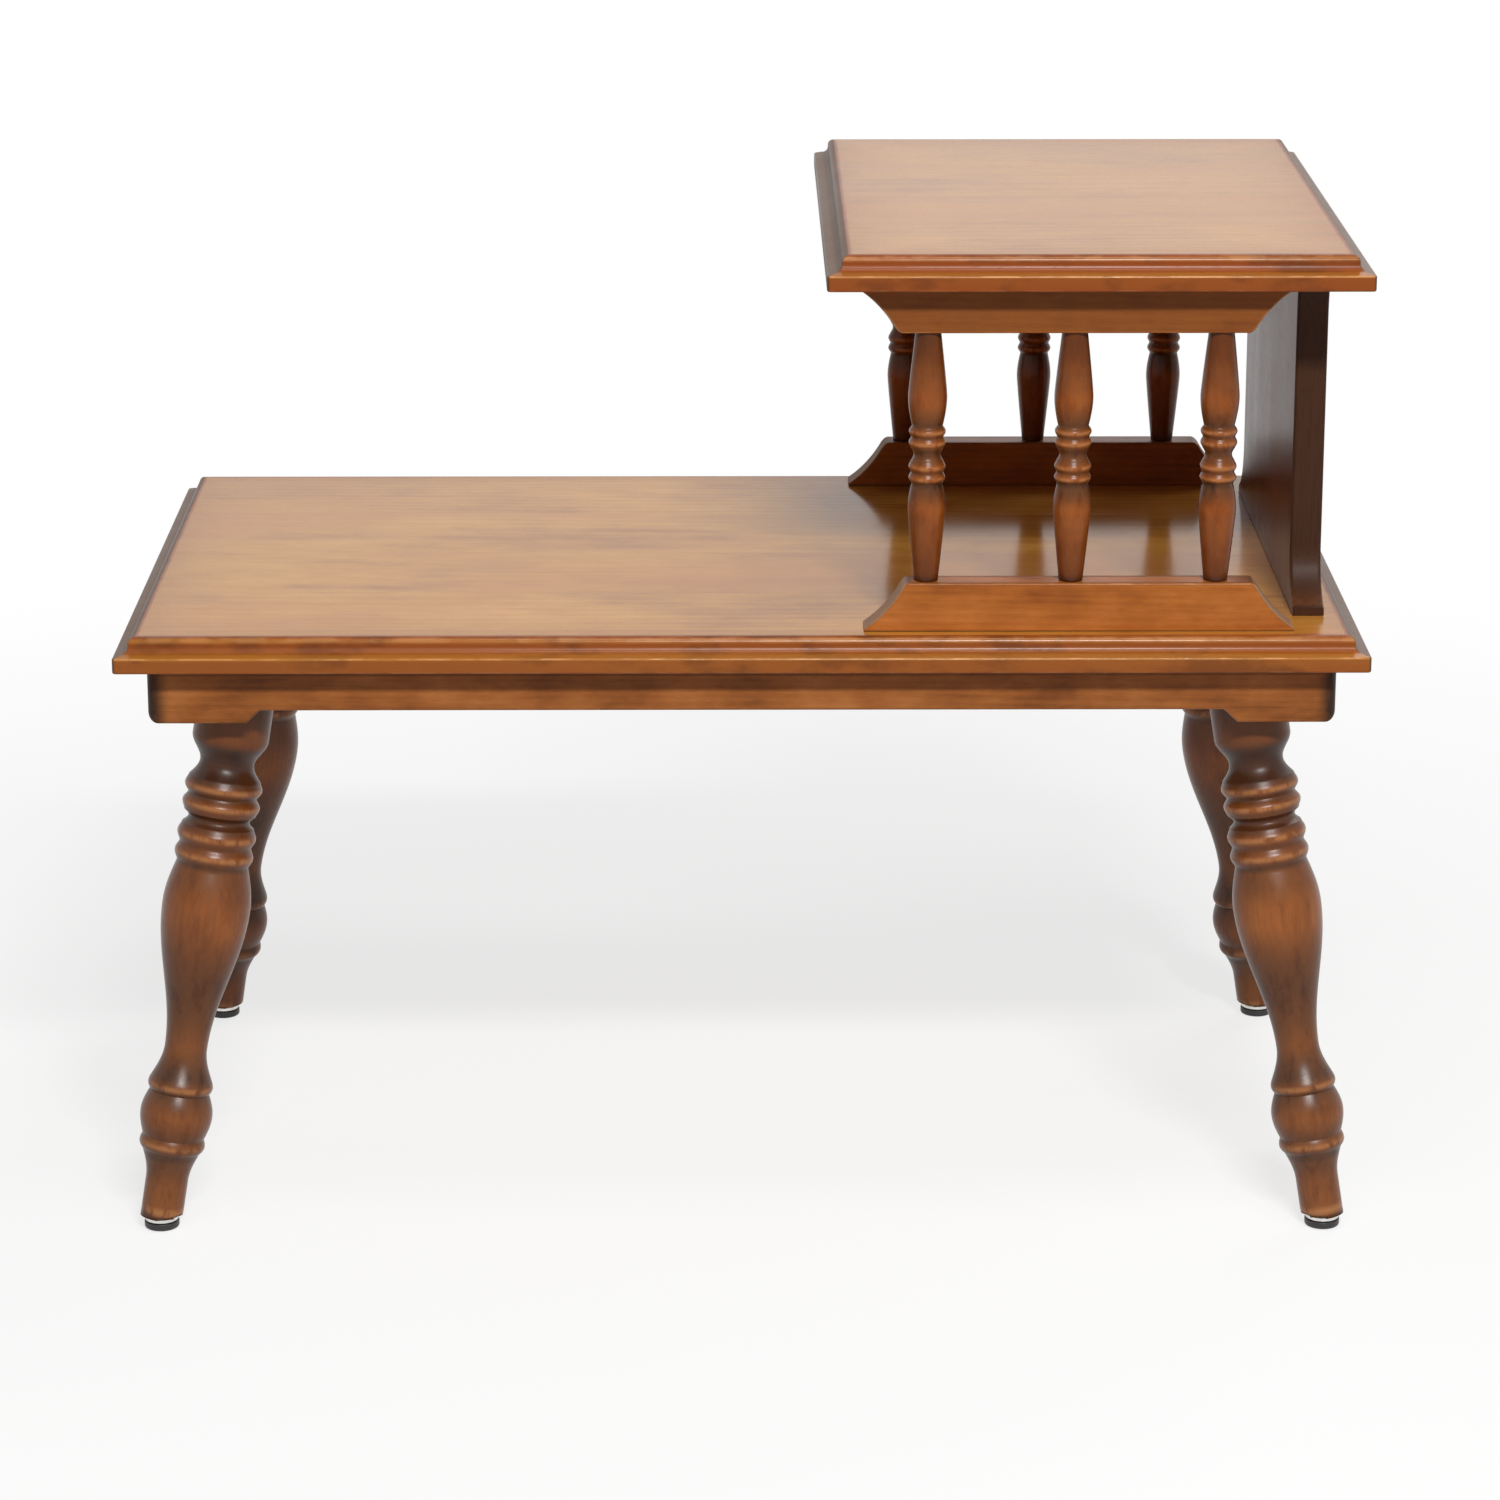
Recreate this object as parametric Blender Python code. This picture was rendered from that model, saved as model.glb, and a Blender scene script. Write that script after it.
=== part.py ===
"""Two-tier end table in turned and moulded hardwood, built piece by piece in metres.

X runs along the table with the raised tier at +X, the front is at -Y, and Z is up from the floor.
The origin is on the floor under the middle of the lower top.
"""

import math

import bmesh
import bpy
from mathutils import Matrix, Vector

# Clearance between any two faces that meet
FIT_GAP = 0.0003

# Tops: how high the lower surface is, and how much clear height there is between the two
LOWER_SURFACE_HEIGHT = 0.3614
SHELF_CLEAR_HEIGHT = 0.1989
LOWER_TOP_LENGTH = 0.711
LOWER_TOP_DEPTH = 0.419
UPPER_TOP_LENGTH = 0.304
UPPER_TOP_END_INSET = 0.0045
UPPER_TOP_SIDE_INSET = 0.002
TOP_THICKNESS = 0.019

# Moulded edge of both tops, from the upper surface down and out
EDGE_ROUND_RADIUS = 0.0038
EDGE_FALL = 0.001
EDGE_COVE_RADIUS = 0.0042
EDGE_LEDGE_WIDTH = 0.0043
EDGE_LEDGE_SLOPE = 0.001
EDGE_ARRIS = 0.001

# Aprons under the long edges of the lower top
APRON_SETBACK = 0.0181
APRON_END_SETBACK = 0.017
APRON_THICKNESS = 0.016
APRON_HEIGHT = 0.0262
APRON_DROP = 0.0076
APRON_DROP_LENGTH = 0.056
APRON_DROP_SLOPE = 0.008
APRON_CORNER_RADIUS = 0.006

# Cross cleats that carry the legs
CLEAT_THICKNESS = 0.025
CLEAT_WIDTH = 0.062

# Legs: how they stand
LEG_SPLAY_ALONG = 0.162
LEG_SPLAY_ACROSS = 0.116
LEG_FOOT_INSET = 0.0133
LEG_APRON_CLEARANCE = 0.0012
LEG_SEAT_LIP = 0.001
LEG_TENON_RADIUS = 0.011
LEG_TENON_LENGTH = 0.015
LEG_FOOT_CHAMFER = 0.0018

# Legs: turned members from the foot up, with their lengths along the leg and their radii.
# The rise of the vase takes up what is left of the leg's length.
FOOT_LENGTH = 0.022
FOOT_RADIUS = 0.0124
ANKLE_LENGTH = 0.017
ANKLE_RADIUS = 0.0167
ANKLE_RING_LENGTH = 0.009
ANKLE_RING_RADIUS = 0.0192
BALL_LENGTH = 0.0273
BALL_RADIUS = 0.0211
BALL_LOWER_GROOVE_RADIUS = 0.018
BALL_UPPER_GROOVE_RADIUS = 0.0173
KNEE_RING_LENGTH = 0.0075
KNEE_RING_RADIUS = 0.019
KNEE_LENGTH = 0.0192
WAIST_RADIUS = 0.0124
VASE_RADIUS = 0.0256
VASE_SHOULDER_LENGTH = 0.0255
RING_GROOVE_RADIUS = 0.0208
LOWER_RINGS_LENGTH = 0.0115
LOWER_RINGS_RADIUS = 0.0229
RING_COVE_LENGTH = 0.0075
RING_COVE_RADIUS = 0.0178
UPPER_RINGS_LENGTH = 0.0102
UPPER_RINGS_RADIUS = 0.0225
NECK_LENGTH = 0.0095
NECK_RADIUS = 0.0157
COLLAR_RISE_LENGTH = 0.015
COLLAR_RADIUS = 0.0221
COLLAR_LENGTH = 0.0331

# Glides: a bright washer over a dark pad, held by one nail
GLIDE_WASHER_THICKNESS = 0.0026
GLIDE_WASHER_RADIUS = 0.0097
GLIDE_WASHER_EASE = 0.0007
GLIDE_PAD_THICKNESS = 0.0044
GLIDE_PAD_RADIUS = 0.0102
GLIDE_PAD_EASE = 0.0016
NAIL_SHANK_RADIUS = 0.0014
NAIL_HEAD_RADIUS = 0.0042
NAIL_HEAD_THICKNESS = 0.0012
NAIL_HEAD_RECESS = 0.0012
NAIL_BITE = 0.019
NAIL_POINT_LENGTH = 0.003

# Gallery rails, with the lower pair standing on the lower top and the upper pair under the upper top
RAIL_SETBACK = 0.0206
RAIL_THICKNESS = 0.019
LOWER_RAIL_HEIGHT = 0.0278
UPPER_RAIL_HEIGHT = 0.0266
RAIL_STRAIGHT_LENGTH = 0.193
RAIL_END_RUN = 0.0256
RAIL_TIP_HEIGHT = 0.0012
RAIL_HOLLOW_DEPTH = 0.0017
RAIL_SHOULDER_RUN = 0.0048
RAIL_SHOULDER_FALL = 0.0036
RAIL_PANEL_GAP = 0.0028
LOWER_RAIL_SHIFT = 0.0048

# Spindles: turned members from the lower rail up. The two tapers share what is left of the length.
SPINDLES_PER_RAIL = 3
SPINDLE_PITCH = 0.0821
SPINDLE_TENON_RADIUS = 0.005
SPINDLE_TENON_LENGTH = 0.0125
SPINDLE_FOOT_RADIUS = 0.0068
SPINDLE_LOWER_TAPER_LONGER_BY = 0.0043
SPINDLE_LOWER_VASE_RADIUS = 0.0107
SPINDLE_LOWER_SHOULDER_LENGTH = 0.0145
SPINDLE_TUCK_RADIUS = 0.0087
SPINDLE_RING_LENGTH = 0.0069
SPINDLE_RING_RADIUS = 0.0104
SPINDLE_GROOVE_RADIUS = 0.0091
SPINDLE_COVE_LENGTH = 0.006
SPINDLE_COVE_RADIUS = 0.0076
SPINDLE_UPPER_SHOULDER_LENGTH = 0.0165
SPINDLE_UPPER_VASE_RADIUS = 0.011
SPINDLE_HEAD_RADIUS = 0.0072

# End panel that carries the outer end of the upper top
PANEL_THICKNESS = 0.018
PANEL_END_INSET = 0.0213
PANEL_FOOT_WIDTH = 0.310
PANEL_WAIST_WIDTH = 0.264
PANEL_HEAD_WIDTH = 0.286
PANEL_FOOT_LIP = 0.0045
PANEL_FOOT_RISE = 0.032
PANEL_HEAD_FALL = 0.029
PANEL_FIXING_SPACING = 0.160

# Wood screws driven up from below, and dowels under the upper top
SCREW_HEAD_RADIUS = 0.004
SCREW_HEAD_HEIGHT = 0.0026
SCREW_SHANK_RADIUS = 0.002
SCREW_POINT_LENGTH = 0.004
SCREW_TOP_BITE = 0.0105
SCREW_RAIL_BITE = 0.0125
SCREW_PANEL_BITE = 0.022
APRON_COUNTERBORE = 0.010
CLEAT_COUNTERBORE = 0.009
CLEAT_SCREW_SPACING = 0.090
DOWEL_RADIUS = 0.004
DOWEL_TOP_DEPTH = 0.010
DOWEL_LOWER_DEPTH = 0.0125

# Facets
LEG_SIDES = 20
SPINDLE_SIDES = 12
GLIDE_SIDES = 12
FASTENER_SIDES = 8
BEAD_STEPS = 3
COVE_STEPS = 3
BALL_STEPS = 5
RISE_STEPS = 5
TAPER_STEPS = 3
CURVE_STEPS = 5

# Finishes: colour, roughness, metallic
TOP_FINISH = ((0.46, 0.235, 0.105), 0.32, 0.0)
APRON_FINISH = ((0.29, 0.10, 0.033), 0.38, 0.0)
RAIL_FINISH = ((0.36, 0.115, 0.03), 0.38, 0.0)
TURNED_FINISH = ((0.23, 0.078, 0.027), 0.36, 0.0)
PANEL_FINISH = ((0.07, 0.03, 0.017), 0.34, 0.0)
BARE_WOOD_FINISH = ((0.50, 0.33, 0.18), 0.70, 0.0)
NICKEL_FINISH = ((0.78, 0.76, 0.73), 0.25, 1.0)
PAD_FINISH = ((0.03, 0.026, 0.026), 0.55, 0.0)
STEEL_FINISH = ((0.55, 0.54, 0.52), 0.40, 1.0)

# Levels and places that follow from the sizes
SPLAY_STRETCH = math.sqrt(1 + LEG_SPLAY_ALONG**2 + LEG_SPLAY_ACROSS**2)
SPLAY_SINE = math.sqrt(1 - 1 / SPLAY_STRETCH**2)
GLIDE_HEIGHT = GLIDE_PAD_THICKNESS + FIT_GAP + GLIDE_WASHER_THICKNESS + FIT_GAP
LOWER_TOP_BOTTOM = LOWER_SURFACE_HEIGHT - TOP_THICKNESS
CLEAT_BOTTOM = LOWER_TOP_BOTTOM - FIT_GAP - CLEAT_THICKNESS
LEG_SEAT_LEVEL = CLEAT_BOTTOM + LEG_SEAT_LIP + COLLAR_RADIUS * SPLAY_SINE
LEG_LENGTH = (LEG_SEAT_LEVEL - GLIDE_HEIGHT) * SPLAY_STRETCH
VASE_RISE_LENGTH = LEG_LENGTH - (
    FOOT_LENGTH + ANKLE_LENGTH + ANKLE_RING_LENGTH + BALL_LENGTH + KNEE_RING_LENGTH + KNEE_LENGTH
    + VASE_SHOULDER_LENGTH + 2 * LOWER_RINGS_LENGTH + RING_COVE_LENGTH
    + 2 * UPPER_RINGS_LENGTH + NECK_LENGTH + COLLAR_RISE_LENGTH + COLLAR_LENGTH
)
APRON_TOP = LOWER_TOP_BOTTOM - FIT_GAP
APRON_BOTTOM = APRON_TOP - APRON_HEIGHT
APRON_FACE = LOWER_TOP_DEPTH / 2 - APRON_SETBACK
APRON_BACK = APRON_FACE - APRON_THICKNESS
APRON_HALF_LENGTH = LOWER_TOP_LENGTH / 2 - APRON_END_SETBACK
UPPER_TOP_DEPTH = LOWER_TOP_DEPTH - 2 * UPPER_TOP_SIDE_INSET
UPPER_TOP_BOTTOM = LOWER_SURFACE_HEIGHT + SHELF_CLEAR_HEIGHT
UPPER_TOP_CENTRE = LOWER_TOP_LENGTH / 2 - UPPER_TOP_END_INSET - UPPER_TOP_LENGTH / 2
LOWER_RAIL_BOTTOM = LOWER_SURFACE_HEIGHT + FIT_GAP
UPPER_RAIL_TOP = UPPER_TOP_BOTTOM - FIT_GAP
SPINDLE_BOTTOM = LOWER_RAIL_BOTTOM + LOWER_RAIL_HEIGHT + FIT_GAP
SPINDLE_LENGTH = UPPER_RAIL_TOP - UPPER_RAIL_HEIGHT - FIT_GAP - SPINDLE_BOTTOM
SPINDLE_BOTH_TAPERS = SPINDLE_LENGTH - (
    SPINDLE_LOWER_SHOULDER_LENGTH + 4 * SPINDLE_RING_LENGTH + SPINDLE_COVE_LENGTH
    + SPINDLE_UPPER_SHOULDER_LENGTH
)
SPINDLE_LOWER_TAPER_LENGTH = (SPINDLE_BOTH_TAPERS + SPINDLE_LOWER_TAPER_LONGER_BY) / 2
SPINDLE_UPPER_TAPER_LENGTH = SPINDLE_BOTH_TAPERS - SPINDLE_LOWER_TAPER_LENGTH
RAIL_MIDDLE = LOWER_TOP_DEPTH / 2 - RAIL_SETBACK - RAIL_THICKNESS / 2
PANEL_OUTER = LOWER_TOP_LENGTH / 2 - PANEL_END_INSET
PANEL_MIDDLE = PANEL_OUTER - PANEL_THICKNESS / 2
RAIL_HALF_LENGTH = RAIL_STRAIGHT_LENGTH / 2 + RAIL_END_RUN
LOWER_RAIL_CENTRE = PANEL_OUTER - PANEL_THICKNESS - RAIL_PANEL_GAP - RAIL_HALF_LENGTH
GALLERY_CENTRE = LOWER_RAIL_CENTRE - LOWER_RAIL_SHIFT

ENDS = {"left": -1, "right": 1}
SIDES = {"front": -1, "back": 1}


def clear_scene():
    for old in list(bpy.data.objects):
        bpy.data.objects.remove(old, do_unlink=True)


def add_finish(piece, finish):
    """Give a piece a material of its own."""
    colour, roughness, metallic = finish
    material = bpy.data.materials.new(piece.name + "_finish")
    material.use_nodes = True
    shader = material.node_tree.nodes["Principled BSDF"]
    shader.inputs["Base Color"].default_value = (*colour, 1.0)
    shader.inputs["Roughness"].default_value = roughness
    shader.inputs["Metallic"].default_value = metallic
    material.diffuse_color = (*colour, 1.0)
    piece.data.materials.append(material)


def add_object(name, shape):
    """Turn a bmesh into a linked object, with its faces pointing out."""
    bmesh.ops.remove_doubles(shape, verts=shape.verts, dist=1e-6)
    bmesh.ops.recalc_face_normals(shape, faces=shape.faces)
    mesh = bpy.data.meshes.new(name)
    shape.to_mesh(mesh)
    shape.free()
    piece = bpy.data.objects.new(name, mesh)
    bpy.context.scene.collection.objects.link(piece)
    return piece


def add_piece(name, shape, finish, place=Matrix.Identity(4), is_round=False):
    """A finished piece of the table at its place."""
    piece = add_object(name, shape)
    piece.matrix_world = place
    add_finish(piece, finish)
    if is_round:
        piece.data.shade_smooth()
        piece.data.set_sharp_from_angle(angle=math.radians(40))
    return piece


def add_cutter(name, outline, places, sides):
    """One hidden tool that removes the same turned shape at several places."""
    tool = bmesh.new()
    for place in places:
        single = turn(outline, sides)
        bmesh.ops.transform(single, matrix=place, verts=single.verts)
        single_mesh = bpy.data.meshes.new(name)
        single.to_mesh(single_mesh)
        single.free()
        tool.from_mesh(single_mesh)
        bpy.data.meshes.remove(single_mesh)
    cutter = add_object(name, tool)
    cutter.hide_render = True
    cutter.display_type = "WIRE"
    return cutter


def cut(piece, cutter):
    """Take a cutter's shape out of a piece."""
    hole = piece.modifiers.new(cutter.name, "BOOLEAN")
    hole.operation = "DIFFERENCE"
    hole.solver = "EXACT"
    hole.object = cutter


def at(x, y, z):
    return Matrix.Translation((x, y, z))


def turn(outline, sides):
    """Spin (height, radius) marks that start and end on the Z axis into a closed body."""
    shape = bmesh.new()
    marks = [shape.verts.new((radius, 0, height)) for height, radius in outline]
    edges = [shape.edges.new(pair) for pair in zip(marks, marks[1:])]
    bmesh.ops.spin(
        shape, geom=marks + edges, cent=(0, 0, 0), axis=(0, 0, 1), angle=2 * math.pi,
        steps=sides, use_merge=True,
    )
    bmesh.ops.remove_doubles(shape, verts=shape.verts, dist=1e-6)
    bmesh.ops.recalc_face_normals(shape, faces=shape.faces)
    return shape


def extrude_outline(points, thickness):
    """Fill an outline of 3D points and pull it along its thickness vector."""
    shape = bmesh.new()
    face = shape.faces.new([shape.verts.new(point) for point in points])
    pulled = bmesh.ops.extrude_face_region(shape, geom=[face], use_keep_orig=True)
    moved = [item for item in pulled["geom"] if isinstance(item, bmesh.types.BMVert)]
    bmesh.ops.translate(shape, verts=moved, vec=thickness)
    return shape


def slow_start(share):
    return 1 - math.cos(math.pi / 2 * share)


def quick_start(share):
    return math.sin(math.pi / 2 * share)


def slow_ends(share):
    return (1 - math.cos(math.pi * share)) / 2


def sweep(outline, length, finish, steps, pace):
    """Carry a turned outline on to another radius at a given pace."""
    height, start = outline[-1]
    for step in range(1, steps + 1):
        share = step / steps
        outline.append((height + length * share, start + (finish - start) * pace(share)))


def swell(outline, length, middle, finish, steps):
    """Add a bead or a cove that reaches its middle radius halfway along."""
    height, start = outline[-1]
    for step in range(1, steps + 1):
        share = step / steps
        end = start if share < 0.5 else finish
        outline.append((height + length * share, end + (middle - end) * math.sin(math.pi * share)))


def taper_share(step, steps, fullness=0.9):
    """Place and rise of a mark on a straight taper that rounds off at its wide end."""
    share = step / steps
    place = 2 * fullness * share * (1 - share) + share**2
    rise = 2 * share * (1 - share) + share**2
    return place, rise


def taper_out(outline, length, finish, steps):
    height, start = outline[-1]
    for step in range(1, steps + 1):
        place, rise = taper_share(step, steps)
        outline.append((height + length * place, start + (finish - start) * rise))


def taper_in(outline, length, finish, steps):
    height, start = outline[-1]
    for step in range(steps - 1, -1, -1):
        place, rise = taper_share(step, steps)
        outline.append((height + length * (1 - place), finish + (start - finish) * rise))


def leg_outline():
    """Turned leg from below its level foot cut, at height 0, to the end of its tenon."""
    foot_allowance = 2 * FOOT_RADIUS * SPLAY_SINE
    outline = [(-foot_allowance, 0), (-foot_allowance, FOOT_RADIUS), (FOOT_LENGTH, FOOT_RADIUS)]
    sweep(outline, ANKLE_LENGTH, ANKLE_RADIUS, COVE_STEPS, slow_start)
    swell(outline, ANKLE_RING_LENGTH, ANKLE_RING_RADIUS, BALL_LOWER_GROOVE_RADIUS, BEAD_STEPS)
    swell(outline, BALL_LENGTH, BALL_RADIUS, BALL_UPPER_GROOVE_RADIUS, BALL_STEPS)
    swell(outline, KNEE_RING_LENGTH, KNEE_RING_RADIUS, BALL_LOWER_GROOVE_RADIUS, BEAD_STEPS)
    sweep(outline, KNEE_LENGTH, WAIST_RADIUS, COVE_STEPS, quick_start)
    sweep(outline, VASE_RISE_LENGTH, VASE_RADIUS, RISE_STEPS, slow_ends)
    sweep(outline, VASE_SHOULDER_LENGTH, RING_GROOVE_RADIUS, COVE_STEPS, slow_start)
    for _ring in range(2):
        swell(outline, LOWER_RINGS_LENGTH, LOWER_RINGS_RADIUS, RING_GROOVE_RADIUS, BEAD_STEPS)
    swell(outline, RING_COVE_LENGTH, RING_COVE_RADIUS, RING_GROOVE_RADIUS, BEAD_STEPS)
    for _ring in range(2):
        swell(outline, UPPER_RINGS_LENGTH, UPPER_RINGS_RADIUS, RING_GROOVE_RADIUS, BEAD_STEPS)
    sweep(outline, NECK_LENGTH, NECK_RADIUS, COVE_STEPS, quick_start)
    sweep(outline, COLLAR_RISE_LENGTH, COLLAR_RADIUS, TAPER_STEPS, slow_ends)
    outline.append((LEG_LENGTH, COLLAR_RADIUS))
    outline.append((LEG_LENGTH, LEG_TENON_RADIUS))
    outline.append((LEG_LENGTH + LEG_TENON_LENGTH, LEG_TENON_RADIUS))
    outline.append((LEG_LENGTH + LEG_TENON_LENGTH, 0))
    return outline


def leg_seat_outline():
    """Space that a leg's collar and tenon take up in its cleat."""
    seat = LEG_LENGTH + FIT_GAP
    bore_end = LEG_LENGTH + LEG_TENON_LENGTH + FIT_GAP
    return [
        (LEG_LENGTH - COLLAR_LENGTH, 0),
        (LEG_LENGTH - COLLAR_LENGTH, COLLAR_RADIUS + FIT_GAP),
        (seat, COLLAR_RADIUS + FIT_GAP),
        (seat, LEG_TENON_RADIUS + FIT_GAP),
        (bore_end, LEG_TENON_RADIUS + FIT_GAP),
        (bore_end, 0),
    ]


def leg_axis(level, end, side):
    """Point of a leg's axis at a level. The collar just clears the apron's lowest edge."""
    foot_x = LOWER_TOP_LENGTH / 2 - LEG_FOOT_INSET
    clear_level = APRON_BOTTOM - APRON_DROP
    collar_reach = COLLAR_RADIUS * math.sqrt(1 + LEG_SPLAY_ACROSS**2)
    clear_y = APRON_BACK - LEG_APRON_CLEARANCE - collar_reach
    x = foot_x - LEG_SPLAY_ALONG * level
    y = clear_y + LEG_SPLAY_ACROSS * (clear_level - level)
    return Vector((end * x, side * y, level))


def leg_place(end, side):
    """Frame with its origin at the foot cut and its Z along the leg."""
    foot = leg_axis(GLIDE_HEIGHT, end, side)
    seat = leg_axis(LEG_SEAT_LEVEL, end, side)
    lean = Vector((0, 0, 1)).rotation_difference(seat - foot)
    return Matrix.Translation(foot) @ lean.to_matrix().to_4x4()


def cut_foot_level(shape, place):
    """Saw a leg's foot parallel to the floor and ease the edge."""
    up = place.to_3x3().inverted() @ Vector((0, 0, 1))
    everything = list(shape.verts) + list(shape.edges) + list(shape.faces)
    sawn = bmesh.ops.bisect_plane(
        shape, geom=everything, dist=1e-6, plane_co=(0, 0, 0), plane_no=up, clear_inner=True
    )
    rim = [item for item in sawn["geom_cut"] if isinstance(item, bmesh.types.BMEdge)]
    bmesh.ops.edgeloop_fill(shape, edges=rim)
    bmesh.ops.bevel(
        shape, geom=rim, offset=LEG_FOOT_CHAMFER, segments=1, profile=0.5, affect="EDGES"
    )


def build_legs():
    """Four splayed legs, each with its washer, pad and nail."""
    for side_name, side in SIDES.items():
        for end_name, end in ENDS.items():
            corner = f"{side_name}_{end_name}"
            place = leg_place(end, side)
            foot = leg_axis(GLIDE_HEIGHT, end, side)
            shape = turn(leg_outline(), LEG_SIDES)
            cut_foot_level(shape, place)
            leg = add_piece(f"{corner}_leg", shape, TURNED_FINISH, place, is_round=True)
            build_glide(corner, leg, foot.x, foot.y)


def nail_outline(grow=0.0, lead=0.0):
    """Upright nail from the underside of its head, with room all round when it is a hole."""
    tip = GLIDE_HEIGHT - NAIL_HEAD_RECESS + NAIL_BITE
    return [
        (-lead, 0),
        (-lead, NAIL_HEAD_RADIUS + grow),
        (NAIL_HEAD_THICKNESS + grow, NAIL_HEAD_RADIUS + grow),
        (NAIL_HEAD_THICKNESS + grow, NAIL_SHANK_RADIUS + grow),
        (tip - NAIL_POINT_LENGTH, NAIL_SHANK_RADIUS + grow),
        (tip + 2 * grow, 0),
    ]


def build_glide(corner, leg, x, y):
    pad_radius = GLIDE_PAD_RADIUS
    pad_shape = [
        (0, 0),
        (0, pad_radius - GLIDE_PAD_EASE),
        (GLIDE_PAD_EASE, pad_radius),
        (GLIDE_PAD_THICKNESS, pad_radius),
        (GLIDE_PAD_THICKNESS, 0),
    ]
    rim = GLIDE_WASHER_RADIUS - GLIDE_WASHER_EASE
    washer_shape = [
        (0, 0),
        (0, rim),
        (GLIDE_WASHER_EASE, GLIDE_WASHER_RADIUS),
        (GLIDE_WASHER_THICKNESS - GLIDE_WASHER_EASE, GLIDE_WASHER_RADIUS),
        (GLIDE_WASHER_THICKNESS, rim),
        (GLIDE_WASHER_THICKNESS, 0),
    ]
    washer_place = at(x, y, GLIDE_PAD_THICKNESS + FIT_GAP)
    nail_place = at(x, y, NAIL_HEAD_RECESS)
    pad = add_piece(
        f"{corner}_glide_pad", turn(pad_shape, GLIDE_SIDES), PAD_FINISH, at(x, y, 0), is_round=True
    )
    washer = add_piece(
        f"{corner}_glide_washer", turn(washer_shape, GLIDE_SIDES), NICKEL_FINISH, washer_place,
        is_round=True,
    )
    add_piece(
        f"{corner}_glide_nail", turn(nail_outline(), FASTENER_SIDES), STEEL_FINISH, nail_place,
        is_round=True,
    )
    hole = nail_outline(FIT_GAP, 2 * NAIL_HEAD_RECESS)
    cutter = add_cutter(f"{corner}_nail_hole", hole, [nail_place], FASTENER_SIDES)
    for pierced in (leg, washer, pad):
        cut(pierced, cutter)


def edge_outline():
    """Moulded edge as (inset from the outermost face, height above the underside), going up."""
    cove_out = EDGE_LEDGE_WIDTH
    cove_in = EDGE_LEDGE_WIDTH + EDGE_COVE_RADIUS
    round_level = TOP_THICKNESS - EDGE_ROUND_RADIUS
    cove_top = round_level - EDGE_FALL
    ledge_level = cove_top - EDGE_COVE_RADIUS
    outline = [
        (EDGE_ARRIS, 0),
        (0, EDGE_ARRIS),
        (0, ledge_level - EDGE_LEDGE_SLOPE - EDGE_ARRIS),
        (EDGE_ARRIS, ledge_level - EDGE_LEDGE_SLOPE),
    ]
    for step in range(CURVE_STEPS + 1):
        angle = math.pi / 2 * step / CURVE_STEPS
        inset = cove_out + EDGE_COVE_RADIUS * math.sin(angle)
        outline.append((inset, cove_top - EDGE_COVE_RADIUS * math.cos(angle)))
    for step in range(TAPER_STEPS + 1):
        angle = math.pi / 2 * step / TAPER_STEPS
        inset = cove_in + EDGE_ROUND_RADIUS * (1 - math.cos(angle))
        outline.append((inset, round_level + EDGE_ROUND_RADIUS * math.sin(angle)))
    return outline


def build_top(name, length, depth, centre_x, bottom):
    """A board with the same moulding mitred round all four edges."""
    shape = bmesh.new()
    loops = []
    for inset, height in edge_outline():
        half_x = length / 2 - inset
        half_y = depth / 2 - inset
        corners = ((-half_x, -half_y), (half_x, -half_y), (half_x, half_y), (-half_x, half_y))
        ring = [shape.verts.new((x, y, height)) for x, y in corners]
        loops.append([shape.edges.new((ring[i], ring[(i + 1) % 4])) for i in range(4)])
    for lower, upper in zip(loops, loops[1:]):
        bmesh.ops.bridge_loops(shape, edges=lower + upper)
    bmesh.ops.edgeloop_fill(shape, edges=loops[0])
    bmesh.ops.edgeloop_fill(shape, edges=loops[-1])
    return add_piece(name, shape, TOP_FINISH, at(centre_x, 0, bottom))


def apron_outline():
    """Apron seen from the front, about its middle, with its top edge at height 0."""
    half = APRON_HALF_LENGTH
    low = -APRON_HEIGHT - APRON_DROP
    drop_end = half - APRON_DROP_LENGTH
    right = [(drop_end - APRON_DROP_SLOPE, -APRON_HEIGHT), (drop_end, low)]
    for step in range(TAPER_STEPS + 1):
        angle = math.pi / 2 * step / TAPER_STEPS
        x = half - APRON_CORNER_RADIUS * (1 - math.sin(angle))
        right.append((x, low + APRON_CORNER_RADIUS * (1 - math.cos(angle))))
    right.append((half, 0))
    left = [(-x, z) for x, z in reversed(right)]
    return right + left


def build_aprons(lower_top):
    for name, side in SIDES.items():
        points = [(x, -APRON_THICKNESS / 2, z) for x, z in apron_outline()]
        shape = extrude_outline(points, (0, APRON_THICKNESS, 0))
        middle = side * (APRON_FACE - APRON_THICKNESS / 2)
        apron = add_piece(f"{name}_apron", shape, APRON_FINISH, at(0, middle, APRON_TOP))
        head = APRON_BOTTOM + APRON_COUNTERBORE
        length = APRON_HEIGHT - APRON_COUNTERBORE + FIT_GAP + SCREW_TOP_BITE
        spots = {"left": -GALLERY_CENTRE, "middle": 0, "right": GALLERY_CENTRE}
        places = {f"{name}_apron_screw_{key}": at(x, middle, head) for key, x in spots.items()}
        add_screws(f"{name}_apron_screws", places, length, 2 * APRON_COUNTERBORE, [apron, lower_top])


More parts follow.
